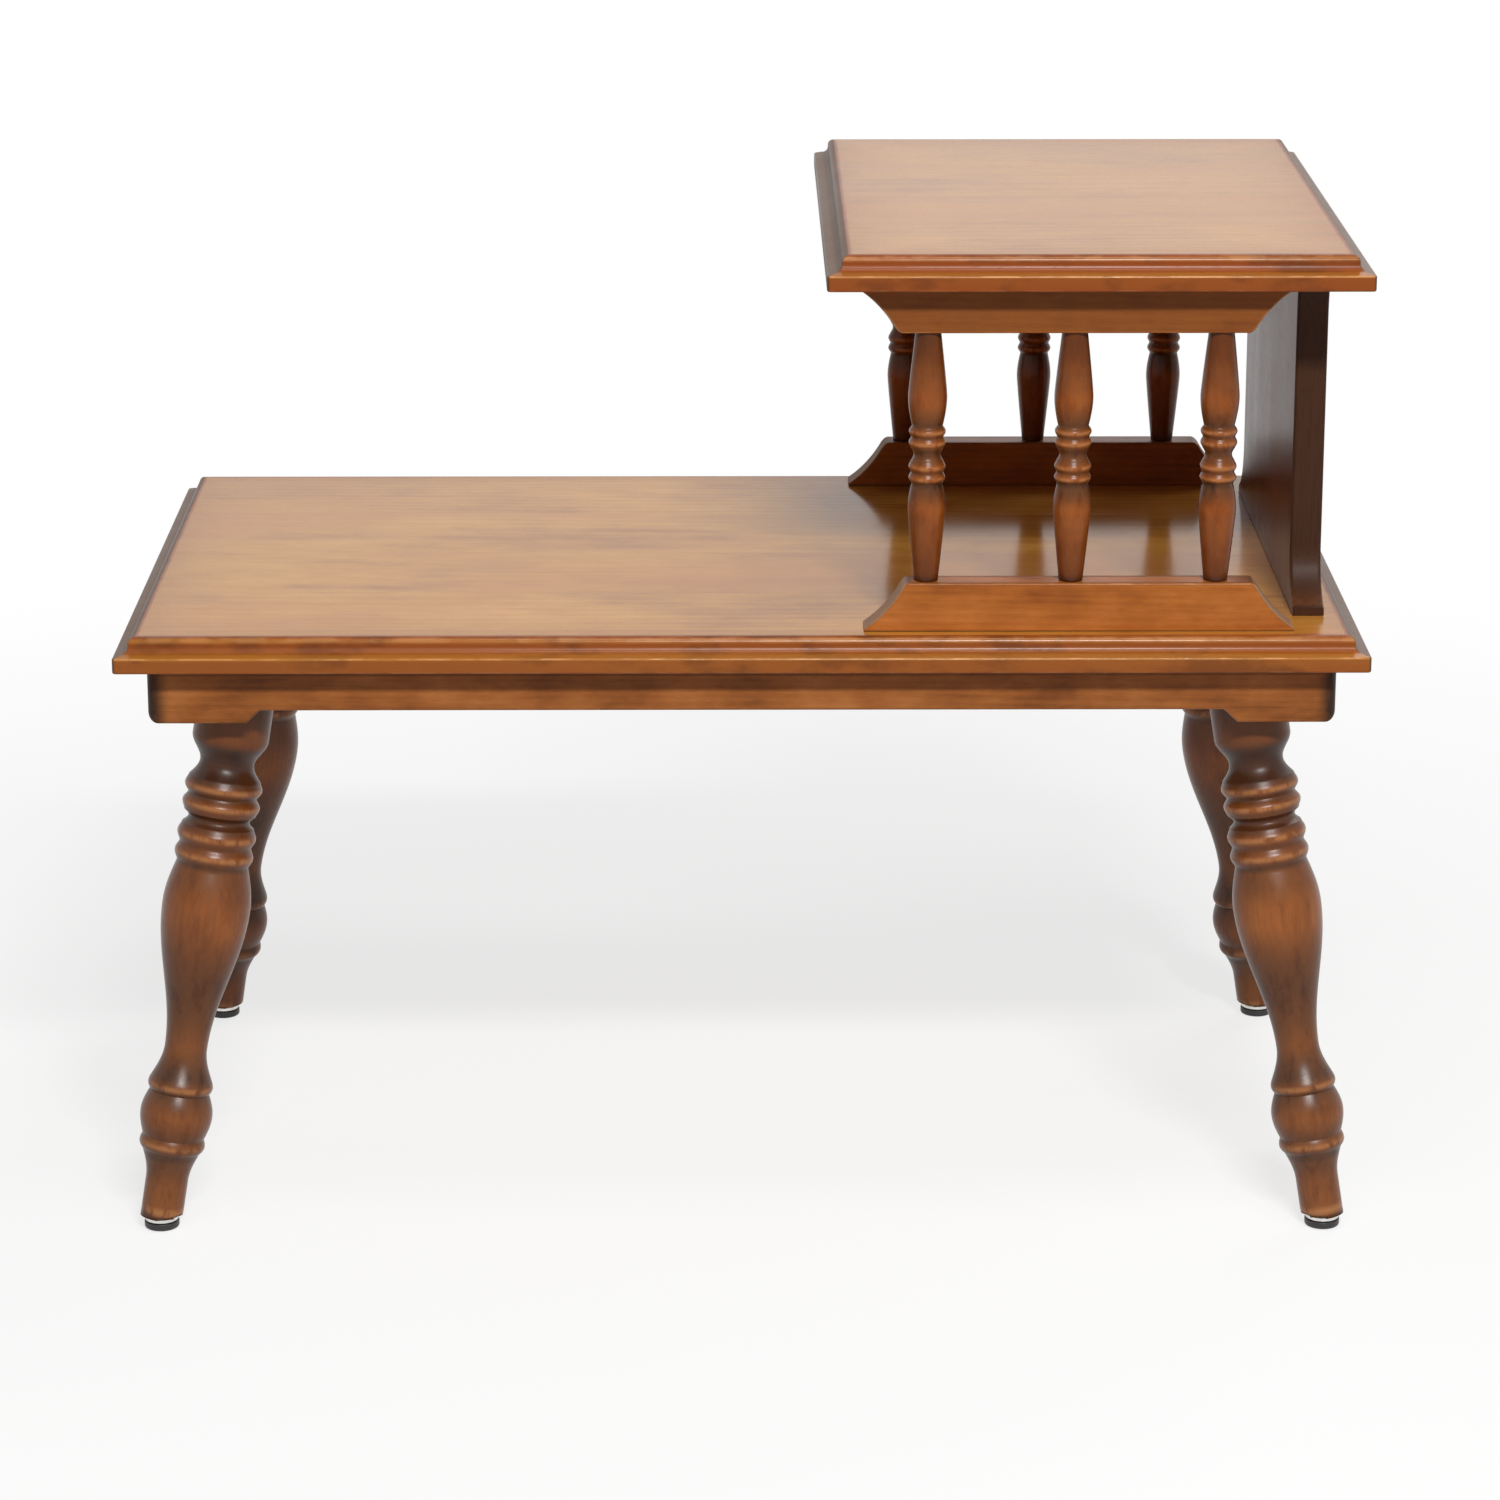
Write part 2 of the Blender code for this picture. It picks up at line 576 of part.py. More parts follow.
def build_cleats(lower_top):
    """A cross cleat at each end, bored and spot-faced for two legs."""
    half_length = APRON_BACK - FIT_GAP
    half_width = CLEAT_WIDTH / 2
    for name, end in ENDS.items():
        middle_x = leg_axis(CLEAT_BOTTOM, end, 1).x
        corners = [
            (-half_width, -half_length, 0),
            (half_width, -half_length, 0),
            (half_width, half_length, 0),
            (-half_width, half_length, 0),
        ]
        shape = extrude_outline(corners, (0, 0, CLEAT_THICKNESS))
        place = at(middle_x, 0, CLEAT_BOTTOM)
        cleat = add_piece(f"{name}_leg_cleat", shape, BARE_WOOD_FINISH, place)
        seats = [leg_place(end, side) for side in SIDES.values()]
        cut(cleat, add_cutter(f"{name}_leg_seats", leg_seat_outline(), seats, LEG_SIDES))
        head = CLEAT_BOTTOM + CLEAT_COUNTERBORE
        length = CLEAT_THICKNESS - CLEAT_COUNTERBORE + FIT_GAP + SCREW_TOP_BITE
        spots = {"front": -CLEAT_SCREW_SPACING, "middle": 0, "back": CLEAT_SCREW_SPACING}
        places = {f"{name}_cleat_screw_{key}": at(middle_x, y, head) for key, y in spots.items()}
        add_screws(f"{name}_cleat_screws", places, length, 2 * CLEAT_COUNTERBORE, [cleat, lower_top])


def screw_outline(length, grow=0.0, lead=0.0):
    """Countersunk screw from its head up, with room all round when it is a hole."""
    return [
        (-lead, 0),
        (-lead, SCREW_HEAD_RADIUS + grow),
        (grow, SCREW_HEAD_RADIUS + grow),
        (SCREW_HEAD_HEIGHT + grow, SCREW_SHANK_RADIUS + grow),
        (length - SCREW_POINT_LENGTH, SCREW_SHANK_RADIUS + grow),
        (length + 2 * grow, 0),
    ]


def add_screws(name, places, length, lead, pieces):
    """Screws driven straight up, and their holes through the pieces that they join."""
    for screw_name, place in places.items():
        shape = turn(screw_outline(length)[:2] + screw_outline(length)[3:], FASTENER_SIDES)
        add_piece(screw_name, shape, STEEL_FINISH, place, is_round=True)
    hole = screw_outline(length, FIT_GAP, lead)
    cutter = add_cutter(f"{name}_holes", hole, places.values(), FASTENER_SIDES)
    for piece in pieces:
        cut(piece, cutter)


def rail_outline(height):
    """Rail seen from the front, lying on its long edge, with round shoulders and hollow ends."""
    half = RAIL_STRAIGHT_LENGTH / 2
    tip = Vector((RAIL_HALF_LENGTH, RAIL_TIP_HEIGHT))
    neck = Vector((half + RAIL_SHOULDER_RUN, height - RAIL_SHOULDER_FALL))
    crown = Vector((half, height))
    along = (neck - tip).normalized()
    inwards = Vector((-along.y, along.x))
    bend = (tip + neck) / 2 + 2 * RAIL_HOLLOW_DEPTH * inwards
    corner = Vector((half + RAIL_SHOULDER_RUN / 2, height))
    right = [Vector((RAIL_HALF_LENGTH, 0))]
    for step in range(CURVE_STEPS + 1):
        right.append(curve_point(tip, bend, neck, step / CURVE_STEPS))
    for step in range(1, COVE_STEPS + 1):
        right.append(curve_point(neck, corner, crown, step / COVE_STEPS))
    left = [Vector((-point.x, point.y)) for point in reversed(right)]
    return right + left


def curve_point(start, bend, finish, share):
    """Point on a plain curve that leaves start and meets finish along lines through bend."""
    return start.lerp(bend, share).lerp(bend.lerp(finish, share), share)


def spindle_outline():
    """Turned spindle with its lower shoulder at height 0 and a tenon at each end."""
    outline = [
        (-SPINDLE_TENON_LENGTH, 0),
        (-SPINDLE_TENON_LENGTH, SPINDLE_TENON_RADIUS),
        (0, SPINDLE_TENON_RADIUS),
        (0, SPINDLE_FOOT_RADIUS),
    ]
    taper_out(outline, SPINDLE_LOWER_TAPER_LENGTH, SPINDLE_LOWER_VASE_RADIUS, TAPER_STEPS)
    sweep(outline, SPINDLE_LOWER_SHOULDER_LENGTH, SPINDLE_TUCK_RADIUS, COVE_STEPS, slow_start)
    for _ring in range(2):
        swell(outline, SPINDLE_RING_LENGTH, SPINDLE_RING_RADIUS, SPINDLE_GROOVE_RADIUS, BEAD_STEPS)
    swell(outline, SPINDLE_COVE_LENGTH, SPINDLE_COVE_RADIUS, SPINDLE_GROOVE_RADIUS, COVE_STEPS)
    swell(outline, SPINDLE_RING_LENGTH, SPINDLE_RING_RADIUS, SPINDLE_GROOVE_RADIUS, BEAD_STEPS)
    swell(outline, SPINDLE_RING_LENGTH, SPINDLE_RING_RADIUS, SPINDLE_TUCK_RADIUS, BEAD_STEPS)
    sweep(outline, SPINDLE_UPPER_SHOULDER_LENGTH, SPINDLE_UPPER_VASE_RADIUS, COVE_STEPS, quick_start)
    taper_in(outline, SPINDLE_UPPER_TAPER_LENGTH, SPINDLE_HEAD_RADIUS, TAPER_STEPS)
    outline.append((SPINDLE_LENGTH, SPINDLE_TENON_RADIUS))
    outline.append((SPINDLE_LENGTH + SPINDLE_TENON_LENGTH, SPINDLE_TENON_RADIUS))
    outline.append((SPINDLE_LENGTH + SPINDLE_TENON_LENGTH, 0))
    return outline


def cylinder_outline(bottom, top, radius):
    return [(bottom, 0), (bottom, radius), (top, radius), (top, 0)]


def build_gallery(lower_top, upper_top):
    """A row of spindles between two rails along the front and the back."""
    first = -(SPINDLES_PER_RAIL - 1) / 2
    spindle_x = [GALLERY_CENTRE + (first + i) * SPINDLE_PITCH for i in range(SPINDLES_PER_RAIL)]
    fixing_x = {"left": GALLERY_CENTRE - SPINDLE_PITCH / 2, "right": GALLERY_CENTRE + SPINDLE_PITCH / 2}
    tenon_bore = cylinder_outline(
        -SPINDLE_TENON_LENGTH - FIT_GAP,
        SPINDLE_LENGTH + SPINDLE_TENON_LENGTH + FIT_GAP,
        SPINDLE_TENON_RADIUS + FIT_GAP,
    )
    for name, side in SIDES.items():
        y = side * RAIL_MIDDLE
        front = -RAIL_THICKNESS / 2
        lower = [(p.x, front, p.y) for p in rail_outline(LOWER_RAIL_HEIGHT)]
        upper = [(p.x, front, -p.y) for p in rail_outline(UPPER_RAIL_HEIGHT)]
        depth = (0, RAIL_THICKNESS, 0)
        lower_rail = add_piece(
            f"{name}_lower_rail", extrude_outline(lower, depth), RAIL_FINISH,
            at(LOWER_RAIL_CENTRE, y, LOWER_RAIL_BOTTOM),
        )
        upper_rail = add_piece(
            f"{name}_upper_rail", extrude_outline(upper, depth), RAIL_FINISH,
            at(GALLERY_CENTRE, y, UPPER_RAIL_TOP),
        )
        places = [at(x, y, SPINDLE_BOTTOM) for x in spindle_x]
        for number, place in enumerate(places, 1):
            add_piece(
                f"{name}_spindle_{number}", turn(spindle_outline(), SPINDLE_SIDES), TURNED_FINISH,
                place, is_round=True,
            )
        bores = add_cutter(f"{name}_spindle_bores", tenon_bore, places, SPINDLE_SIDES)
        cut(lower_rail, bores)
        cut(upper_rail, bores)
        screws = {
            f"{name}_rail_screw_{key}": at(x, y, LOWER_TOP_BOTTOM + FIT_GAP)
            for key, x in fixing_x.items()
        }
        length = TOP_THICKNESS + SCREW_RAIL_BITE
        add_screws(f"{name}_rail_screws", screws, length, 2 * FIT_GAP, [lower_top, lower_rail])
        dowels = {f"{name}_rail_dowel_{key}": at(x, y, UPPER_TOP_BOTTOM) for key, x in fixing_x.items()}
        add_dowels(f"{name}_rail_dowels", dowels, [upper_top, upper_rail])


def add_dowels(name, places, pieces):
    """Blind dowels that cross the joint at their place's height, and their holes."""
    body = cylinder_outline(-DOWEL_LOWER_DEPTH, DOWEL_TOP_DEPTH, DOWEL_RADIUS)
    for dowel_name, place in places.items():
        add_piece(dowel_name, turn(body, FASTENER_SIDES), BARE_WOOD_FINISH, place, is_round=True)
    hole = cylinder_outline(
        -DOWEL_LOWER_DEPTH - FIT_GAP, DOWEL_TOP_DEPTH + FIT_GAP, DOWEL_RADIUS + FIT_GAP
    )
    cutter = add_cutter(f"{name}_holes", hole, places.values(), FASTENER_SIDES)
    for piece in pieces:
        cut(piece, cutter)


def panel_outline(height):
    """End panel seen from its end: wide foot, narrow waist, flared head."""
    foot = PANEL_FOOT_WIDTH / 2
    waist = PANEL_WAIST_WIDTH / 2
    head = PANEL_HEAD_WIDTH / 2
    head_start = height - PANEL_HEAD_FALL
    lip = Vector((foot, PANEL_FOOT_LIP))
    foot_end = Vector((waist, PANEL_FOOT_LIP + PANEL_FOOT_RISE))
    foot_bend = Vector((waist, PANEL_FOOT_LIP + PANEL_FOOT_RISE / 3))
    head_bend = Vector((waist, height - PANEL_HEAD_FALL / 3))
    right = [Vector((foot, 0))]
    for step in range(CURVE_STEPS + 1):
        right.append(curve_point(lip, foot_bend, foot_end, step / CURVE_STEPS))
    for step in range(CURVE_STEPS + 1):
        share = step / CURVE_STEPS
        right.append(curve_point(Vector((waist, head_start)), head_bend, Vector((head, height)), share))
    left = [Vector((-point.x, point.y)) for point in reversed(right)]
    return right + left


def build_panel(lower_top, upper_top):
    height = UPPER_RAIL_TOP - LOWER_RAIL_BOTTOM
    points = [(-PANEL_THICKNESS / 2, p.x, p.y) for p in panel_outline(height)]
    shape = extrude_outline(points, (PANEL_THICKNESS, 0, 0))
    panel = add_piece("end_panel", shape, PANEL_FINISH, at(PANEL_MIDDLE, 0, LOWER_RAIL_BOTTOM))
    fixing_y = {name: side * PANEL_FIXING_SPACING / 2 for name, side in SIDES.items()}
    screws = {
        f"panel_screw_{key}": at(PANEL_MIDDLE, y, LOWER_TOP_BOTTOM + FIT_GAP)
        for key, y in fixing_y.items()
    }
    length = TOP_THICKNESS + SCREW_PANEL_BITE
    add_screws("panel_screws", screws, length, 2 * FIT_GAP, [lower_top, panel])
    dowels = {f"panel_dowel_{key}": at(PANEL_MIDDLE, y, UPPER_TOP_BOTTOM) for key, y in fixing_y.items()}
    add_dowels("panel_dowels", dowels, [upper_top, panel])


def build_table():
    clear_scene()
    lower_top = build_top("lower_top", LOWER_TOP_LENGTH, LOWER_TOP_DEPTH, 0, LOWER_TOP_BOTTOM)
    upper_top = build_top(
        "upper_top", UPPER_TOP_LENGTH, UPPER_TOP_DEPTH, UPPER_TOP_CENTRE, UPPER_TOP_BOTTOM
    )
    build_legs()
    build_cleats(lower_top)
    build_aprons(lower_top)
    build_gallery(lower_top, upper_top)
    build_panel(lower_top, upper_top)


build_table()
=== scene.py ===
"""Looks of a two-tier end table: finely shaped wood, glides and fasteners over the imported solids.

Metres, in the solids' own frame: X along the table with the raised tier at +X, front at -Y, Z up.
"""

import itertools
import math
import random

import bmesh
import bpy
from mathutils import Matrix, Vector


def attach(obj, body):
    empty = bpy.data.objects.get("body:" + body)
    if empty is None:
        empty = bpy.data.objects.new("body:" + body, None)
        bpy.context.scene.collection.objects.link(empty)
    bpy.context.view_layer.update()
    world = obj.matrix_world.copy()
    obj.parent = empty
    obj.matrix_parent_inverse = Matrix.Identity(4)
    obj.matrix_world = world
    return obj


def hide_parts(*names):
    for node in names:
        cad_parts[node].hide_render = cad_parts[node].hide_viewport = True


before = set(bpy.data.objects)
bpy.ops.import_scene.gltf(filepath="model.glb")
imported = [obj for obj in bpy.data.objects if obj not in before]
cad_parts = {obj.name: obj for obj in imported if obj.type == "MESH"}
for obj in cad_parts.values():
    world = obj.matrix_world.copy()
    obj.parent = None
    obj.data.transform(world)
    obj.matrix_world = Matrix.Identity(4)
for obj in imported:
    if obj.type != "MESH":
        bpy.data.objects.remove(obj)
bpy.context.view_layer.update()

# Clearance between any two faces that meet
FIT_GAP = 0.0003

# Tops
LOWER_SURFACE_HEIGHT = 0.3614
SHELF_CLEAR_HEIGHT = 0.1989
LOWER_TOP_LENGTH = 0.711
LOWER_TOP_DEPTH = 0.419
UPPER_TOP_LENGTH = 0.304
UPPER_TOP_END_INSET = 0.0045
UPPER_TOP_SIDE_INSET = 0.002
TOP_THICKNESS = 0.019
EDGE_ROUND_RADIUS = 0.0038
EDGE_FALL = 0.001
EDGE_COVE_RADIUS = 0.0042
EDGE_LEDGE_WIDTH = 0.0043
EDGE_LEDGE_SLOPE = 0.001
EDGE_ARRIS = 0.001
TOP_CORNER_RADIUS = 0.0024
TOP_LEAST_CORNER_RADIUS = 0.0005

# Aprons
APRON_SETBACK = 0.0181
APRON_END_SETBACK = 0.017
APRON_THICKNESS = 0.016
APRON_HEIGHT = 0.0262
APRON_DROP = 0.0076
APRON_DROP_LENGTH = 0.056
APRON_DROP_SLOPE = 0.008
APRON_CORNER_RADIUS = 0.006
APRON_END_ROUND = 0.0058
APRON_BOTTOM_ROUND = 0.0012

# Cleats under the lower top
CLEAT_THICKNESS = 0.025
CLEAT_WIDTH = 0.062
CLEAT_EDGE_ROUND = 0.0011

# Legs
LEG_SPLAY_ALONG = 0.162
LEG_SPLAY_ACROSS = 0.116
LEG_FOOT_INSET = 0.0133
LEG_APRON_CLEARANCE = 0.0012
LEG_SEAT_LIP = 0.001
LEG_TENON_RADIUS = 0.011
LEG_TENON_LENGTH = 0.015
LEG_FOOT_CHAMFER = 0.0018
FOOT_LENGTH = 0.022
FOOT_RADIUS = 0.0124
ANKLE_LENGTH = 0.017
ANKLE_RADIUS = 0.0167
ANKLE_RING_LENGTH = 0.009
ANKLE_RING_RADIUS = 0.0192
BALL_LENGTH = 0.0273
BALL_RADIUS = 0.0211
BALL_LOWER_GROOVE_RADIUS = 0.018
BALL_UPPER_GROOVE_RADIUS = 0.0173
KNEE_RING_LENGTH = 0.0075
KNEE_RING_RADIUS = 0.019
KNEE_LENGTH = 0.0192
WAIST_RADIUS = 0.0124
VASE_RADIUS = 0.0256
VASE_SHOULDER_LENGTH = 0.0255
RING_GROOVE_RADIUS = 0.0208
UPPER_RING_GROOVE_RADIUS = 0.0198
RING_CREST = 1.5
LOWER_RINGS_LENGTH = 0.0115
LOWER_RINGS_RADIUS = 0.0229
RING_COVE_LENGTH = 0.0075
RING_COVE_RADIUS = 0.0178
UPPER_RINGS_LENGTH = 0.0102
UPPER_RINGS_RADIUS = 0.0225
NECK_LENGTH = 0.0095
NECK_RADIUS = 0.0157
COLLAR_RISE_LENGTH = 0.015
COLLAR_RADIUS = 0.0221
COLLAR_LENGTH = 0.0331

# Glides
GLIDE_WASHER_THICKNESS = 0.0026
GLIDE_WASHER_RADIUS = 0.0097
GLIDE_WASHER_EASE = 0.0007
GLIDE_PAD_THICKNESS = 0.0044
GLIDE_PAD_RADIUS = 0.0102
GLIDE_PAD_EASE = 0.0016
NAIL_SHANK_RADIUS = 0.0014
NAIL_HEAD_RADIUS = 0.0042
NAIL_HEAD_THICKNESS = 0.0012
NAIL_HEAD_RECESS = 0.0012
NAIL_RIM_SHARE = 0.6
NAIL_HEAD_EASE = 0.04
NAIL_UNDERSIDE_SHARE = 0.97
NAIL_BITE = 0.019
NAIL_POINT_LENGTH = 0.003

# Gallery rails
RAIL_SETBACK = 0.0206
RAIL_THICKNESS = 0.019
LOWER_RAIL_HEIGHT = 0.0278
UPPER_RAIL_HEIGHT = 0.0266
RAIL_STRAIGHT_LENGTH = 0.193
RAIL_END_RUN = 0.0256
RAIL_TIP_HEIGHT = 0.0012
RAIL_HOLLOW_DEPTH = 0.0017
RAIL_SHOULDER_RUN = 0.0048
RAIL_SHOULDER_FALL = 0.0036
RAIL_PANEL_GAP = 0.0028
LOWER_RAIL_SHIFT = 0.0048
RAIL_EDGE_ROUND = 0.001
RAIL_FOOT_ROUND = 0.0004

# Spindles
SPINDLES_PER_RAIL = 3
SPINDLE_PITCH = 0.0821
SPINDLE_TENON_RADIUS = 0.005
SPINDLE_TENON_LENGTH = 0.0125
SPINDLE_FOOT_RADIUS = 0.0068
SPINDLE_LOWER_TAPER_LONGER_BY = 0.0043
SPINDLE_LOWER_VASE_RADIUS = 0.0107
SPINDLE_LOWER_SHOULDER_LENGTH = 0.0145
SPINDLE_TUCK_RADIUS = 0.0087
SPINDLE_RING_LENGTH = 0.0065
SPINDLE_RING_RADIUS = 0.0104
SPINDLE_GROOVE_RADIUS = 0.0091
SPINDLE_COVE_LENGTH = 0.0073
SPINDLE_COVE_RADIUS = 0.0076
SPINDLE_UPPER_SHOULDER_LENGTH = 0.0165
SPINDLE_UPPER_VASE_RADIUS = 0.011
SPINDLE_HEAD_RADIUS = 0.0072

# End panel
PANEL_THICKNESS = 0.018
PANEL_END_INSET = 0.0213
PANEL_FOOT_WIDTH = 0.310
PANEL_WAIST_WIDTH = 0.264
PANEL_HEAD_WIDTH = 0.286
PANEL_FOOT_LIP = 0.0045
PANEL_FOOT_RISE = 0.032
PANEL_HEAD_FALL = 0.029
PANEL_FIXING_SPACING = 0.160
PANEL_EDGE_ROUND = 0.002
PANEL_FOOT_ROUND = 0.0004
PANEL_LIP_ROUND = 0.0012

# Screws and dowels
SCREW_HEAD_RADIUS = 0.004
SCREW_HEAD_HEIGHT = 0.0026
SCREW_SHANK_RADIUS = 0.002
SCREW_POINT_LENGTH = 0.004
SCREW_SLOT_WIDTH = 0.001
SCREW_SLOT_DEPTH = 0.0011
SCREW_FIRST_TURN = 0.7
SCREW_TURN_STEP = 1.9
SCREW_TOP_BITE = 0.0105
SCREW_RAIL_BITE = 0.0125
SCREW_PANEL_BITE = 0.022
APRON_COUNTERBORE = 0.010
CLEAT_COUNTERBORE = 0.009
CLEAT_SCREW_SPACING = 0.090
DOWEL_RADIUS = 0.004
DOWEL_TOP_DEPTH = 0.010
DOWEL_LOWER_DEPTH = 0.0125

# How finely curves are drawn
LEG_SIDES = 64
SPINDLE_SIDES = 44
GLIDE_SIDES = 48
FASTENER_SIDES = 24
BEAD_STEPS = 12
COVE_STEPS = 10
BALL_STEPS = 24
RISE_STEPS = 26
TAPER_STEPS = 16
ARC_STEPS = 7
CORNER_STEPS = 5
SUPPORT_WIDTH = 0.0004
MERGE_DISTANCE = 1e-7
WELD_DISTANCE = 1e-6
LEAST_STEP = 1e-9
SHARP_ANGLE = math.radians(35)

# Levels and places that follow from the sizes
SPLAY_STRETCH = math.sqrt(1 + LEG_SPLAY_ALONG**2 + LEG_SPLAY_ACROSS**2)
SPLAY_SINE = math.sqrt(1 - 1 / SPLAY_STRETCH**2)
GLIDE_HEIGHT = GLIDE_PAD_THICKNESS + FIT_GAP + GLIDE_WASHER_THICKNESS + FIT_GAP
LOWER_TOP_BOTTOM = LOWER_SURFACE_HEIGHT - TOP_THICKNESS
CLEAT_BOTTOM = LOWER_TOP_BOTTOM - FIT_GAP - CLEAT_THICKNESS
LEG_SEAT_LEVEL = CLEAT_BOTTOM + LEG_SEAT_LIP + COLLAR_RADIUS * SPLAY_SINE
LEG_LENGTH = (LEG_SEAT_LEVEL - GLIDE_HEIGHT) * SPLAY_STRETCH
VASE_RISE_LENGTH = LEG_LENGTH - (
    FOOT_LENGTH + ANKLE_LENGTH + ANKLE_RING_LENGTH + BALL_LENGTH + KNEE_RING_LENGTH + KNEE_LENGTH
    + VASE_SHOULDER_LENGTH + 2 * LOWER_RINGS_LENGTH + RING_COVE_LENGTH
    + 2 * UPPER_RINGS_LENGTH + NECK_LENGTH + COLLAR_RISE_LENGTH + COLLAR_LENGTH
)
APRON_TOP = LOWER_TOP_BOTTOM - FIT_GAP
APRON_BOTTOM = APRON_TOP - APRON_HEIGHT
APRON_FACE = LOWER_TOP_DEPTH / 2 - APRON_SETBACK
APRON_BACK = APRON_FACE - APRON_THICKNESS
APRON_MIDDLE = (APRON_FACE + APRON_BACK) / 2
APRON_HALF_LENGTH = LOWER_TOP_LENGTH / 2 - APRON_END_SETBACK
UPPER_TOP_DEPTH = LOWER_TOP_DEPTH - 2 * UPPER_TOP_SIDE_INSET
UPPER_TOP_BOTTOM = LOWER_SURFACE_HEIGHT + SHELF_CLEAR_HEIGHT
UPPER_TOP_CENTRE = LOWER_TOP_LENGTH / 2 - UPPER_TOP_END_INSET - UPPER_TOP_LENGTH / 2
LOWER_RAIL_BOTTOM = LOWER_SURFACE_HEIGHT + FIT_GAP
UPPER_RAIL_TOP = UPPER_TOP_BOTTOM - FIT_GAP
PANEL_HEIGHT = UPPER_RAIL_TOP - LOWER_RAIL_BOTTOM
SPINDLE_BOTTOM = LOWER_RAIL_BOTTOM + LOWER_RAIL_HEIGHT + FIT_GAP
SPINDLE_LENGTH = UPPER_RAIL_TOP - UPPER_RAIL_HEIGHT - FIT_GAP - SPINDLE_BOTTOM
SPINDLE_BOTH_TAPERS = SPINDLE_LENGTH - (
    SPINDLE_LOWER_SHOULDER_LENGTH + 4 * SPINDLE_RING_LENGTH + SPINDLE_COVE_LENGTH
    + SPINDLE_UPPER_SHOULDER_LENGTH
)
SPINDLE_LOWER_TAPER_LENGTH = (SPINDLE_BOTH_TAPERS + SPINDLE_LOWER_TAPER_LONGER_BY) / 2
SPINDLE_UPPER_TAPER_LENGTH = SPINDLE_BOTH_TAPERS - SPINDLE_LOWER_TAPER_LENGTH
RAIL_MIDDLE = LOWER_TOP_DEPTH / 2 - RAIL_SETBACK - RAIL_THICKNESS / 2
PANEL_OUTER = LOWER_TOP_LENGTH / 2 - PANEL_END_INSET
PANEL_MIDDLE = PANEL_OUTER - PANEL_THICKNESS / 2
RAIL_HALF_LENGTH = RAIL_STRAIGHT_LENGTH / 2 + RAIL_END_RUN
LOWER_RAIL_CENTRE = PANEL_OUTER - PANEL_THICKNESS - RAIL_PANEL_GAP - RAIL_HALF_LENGTH
GALLERY_CENTRE = LOWER_RAIL_CENTRE - LOWER_RAIL_SHIFT
FIXING_X = {"left": GALLERY_CENTRE - SPINDLE_PITCH / 2, "right": GALLERY_CENTRE + SPINDLE_PITCH / 2}
SPINDLE_X = [
    GALLERY_CENTRE + (i - (SPINDLES_PER_RAIL - 1) / 2) * SPINDLE_PITCH for i in range(SPINDLES_PER_RAIL)
]

ENDS = {"left": -1, "right": 1}
SIDES = {"front": -1, "back": 1}
# Corners of a rectangle, going round to the left
ROUND_TO_LEFT = ((-1, -1), (1, -1), (1, 1), (-1, 1))

# Grain of each kind of piece: the axis along it, its first random seed and how far it leans
GRAIN = {
    "top": ("X", 11, 0.02),
    "apron": ("X", 21, 0.012),
    "cleat": ("X", 31, 0.02),
    "leg": ("Z", 41, 0.03),
    "spindle": ("Z", 61, 0.03),
    "lower_rail": ("X", 73, 0.015),
    "upper_rail": ("X", 83, 0.015),
    "panel": ("Z", 91, 0.015),
    "fitting": ("Z", 0, 0.03),
}
GRAIN_START = ((-0.8, 0.8), (-0.03, 0.03), (0.05, 0.10))
GRAIN_LEAN_SPREAD = (0.7, 1.2)
END_GRAIN_CREEP = 0.75

# How dark the staining lies along a turned piece: height above its foot, darkness
# On the legs the collar is darkened further as painted shade under the apron, and the vase shoulder is
# kept light as a painted sheen.
LEG_STAIN_AND_SHADE = [
    (0.0, 0.75), (0.0016, 0.7), (0.003, 0.3), (0.012, 0.3), (0.030, 0.4), (0.045, 0.4),
    (0.058, 0.2), (0.066, 0.35), (0.079, 0.5), (0.088, 0.6), (0.104, 0.35), (0.120, 0.55),
    (0.140, 0.65), (0.158, 0.45), (0.178, 0.0), (0.190, 0.1), (0.202, 0.35), (0.212, 0.4),
    (0.224, 0.15), (0.236, 0.35), (0.253, 0.15), (0.266, 0.6), (0.280, 0.6), (0.295, 0.45),
    (0.310, 0.75), (0.321, 1.0),
]
# On the spindles the head darkens, partly toner and partly painted shade under the upper rail.
SPINDLE_STAIN_AND_SHADE = [
    (0.0, 0.45), (0.006, 0.35), (0.020, 0.25), (0.034, 0.05), (0.042, 0.1), (0.051, 0.55),
    (0.0565, 0.45), (0.060, 0.15), (0.070, 0.15), (0.0735, 0.3), (0.080, 0.15), (0.087, 0.25),
    (0.092, 0.35), (0.102, 0.1), (0.112, 0.2), (0.124, 0.4), (0.1433, 0.55),
]
# Rubbing along a turned piece, and on the crests of its rings: height above its foot, share. The crest
# lines and the light rim above the leg's foot are also painted highlights.
LEG_RUBBED_AND_HIGHLIGHT = [
    (0.001, 0.0), (0.0022, 1.0), (0.0042, 0.9), (0.007, 0.15), (0.16, 0.1), (0.21, 0.1),
    (0.22, 0.0),
]
LEG_RINGS = [
    (0.038, 0.0), (0.040, 1.0), (0.047, 1.0), (0.050, 0.2), (0.073, 0.2), (0.076, 1.0),
    (0.082, 1.0), (0.084, 0.0), (0.210, 0.0), (0.2125, 1.0), (0.262, 1.0), (0.2635, 0.0),
]
SPINDLE_RUBBED = [(0.0, 0.0), (0.03, 0.15), (0.12, 0.15), (0.13, 0.0)]
SPINDLE_RINGS = [(0.053, 0.0), (0.054, 1.0), (0.091, 1.0), (0.092, 0.0)]
RECESS_REACH = 0.005
LEG_RECESS_DEPTH = 0.0024
SPINDLE_RECESS_DEPTH = 0.0014
# Grooves and hollows are darkened, partly as toner lodged in them and partly as painted shade in place
# of occlusion.
RECESS_STAIN_AND_SHADE = 0.55
CREST_BAND = 0.0005
CREST_WEAR_AND_HIGHLIGHT = 0.8
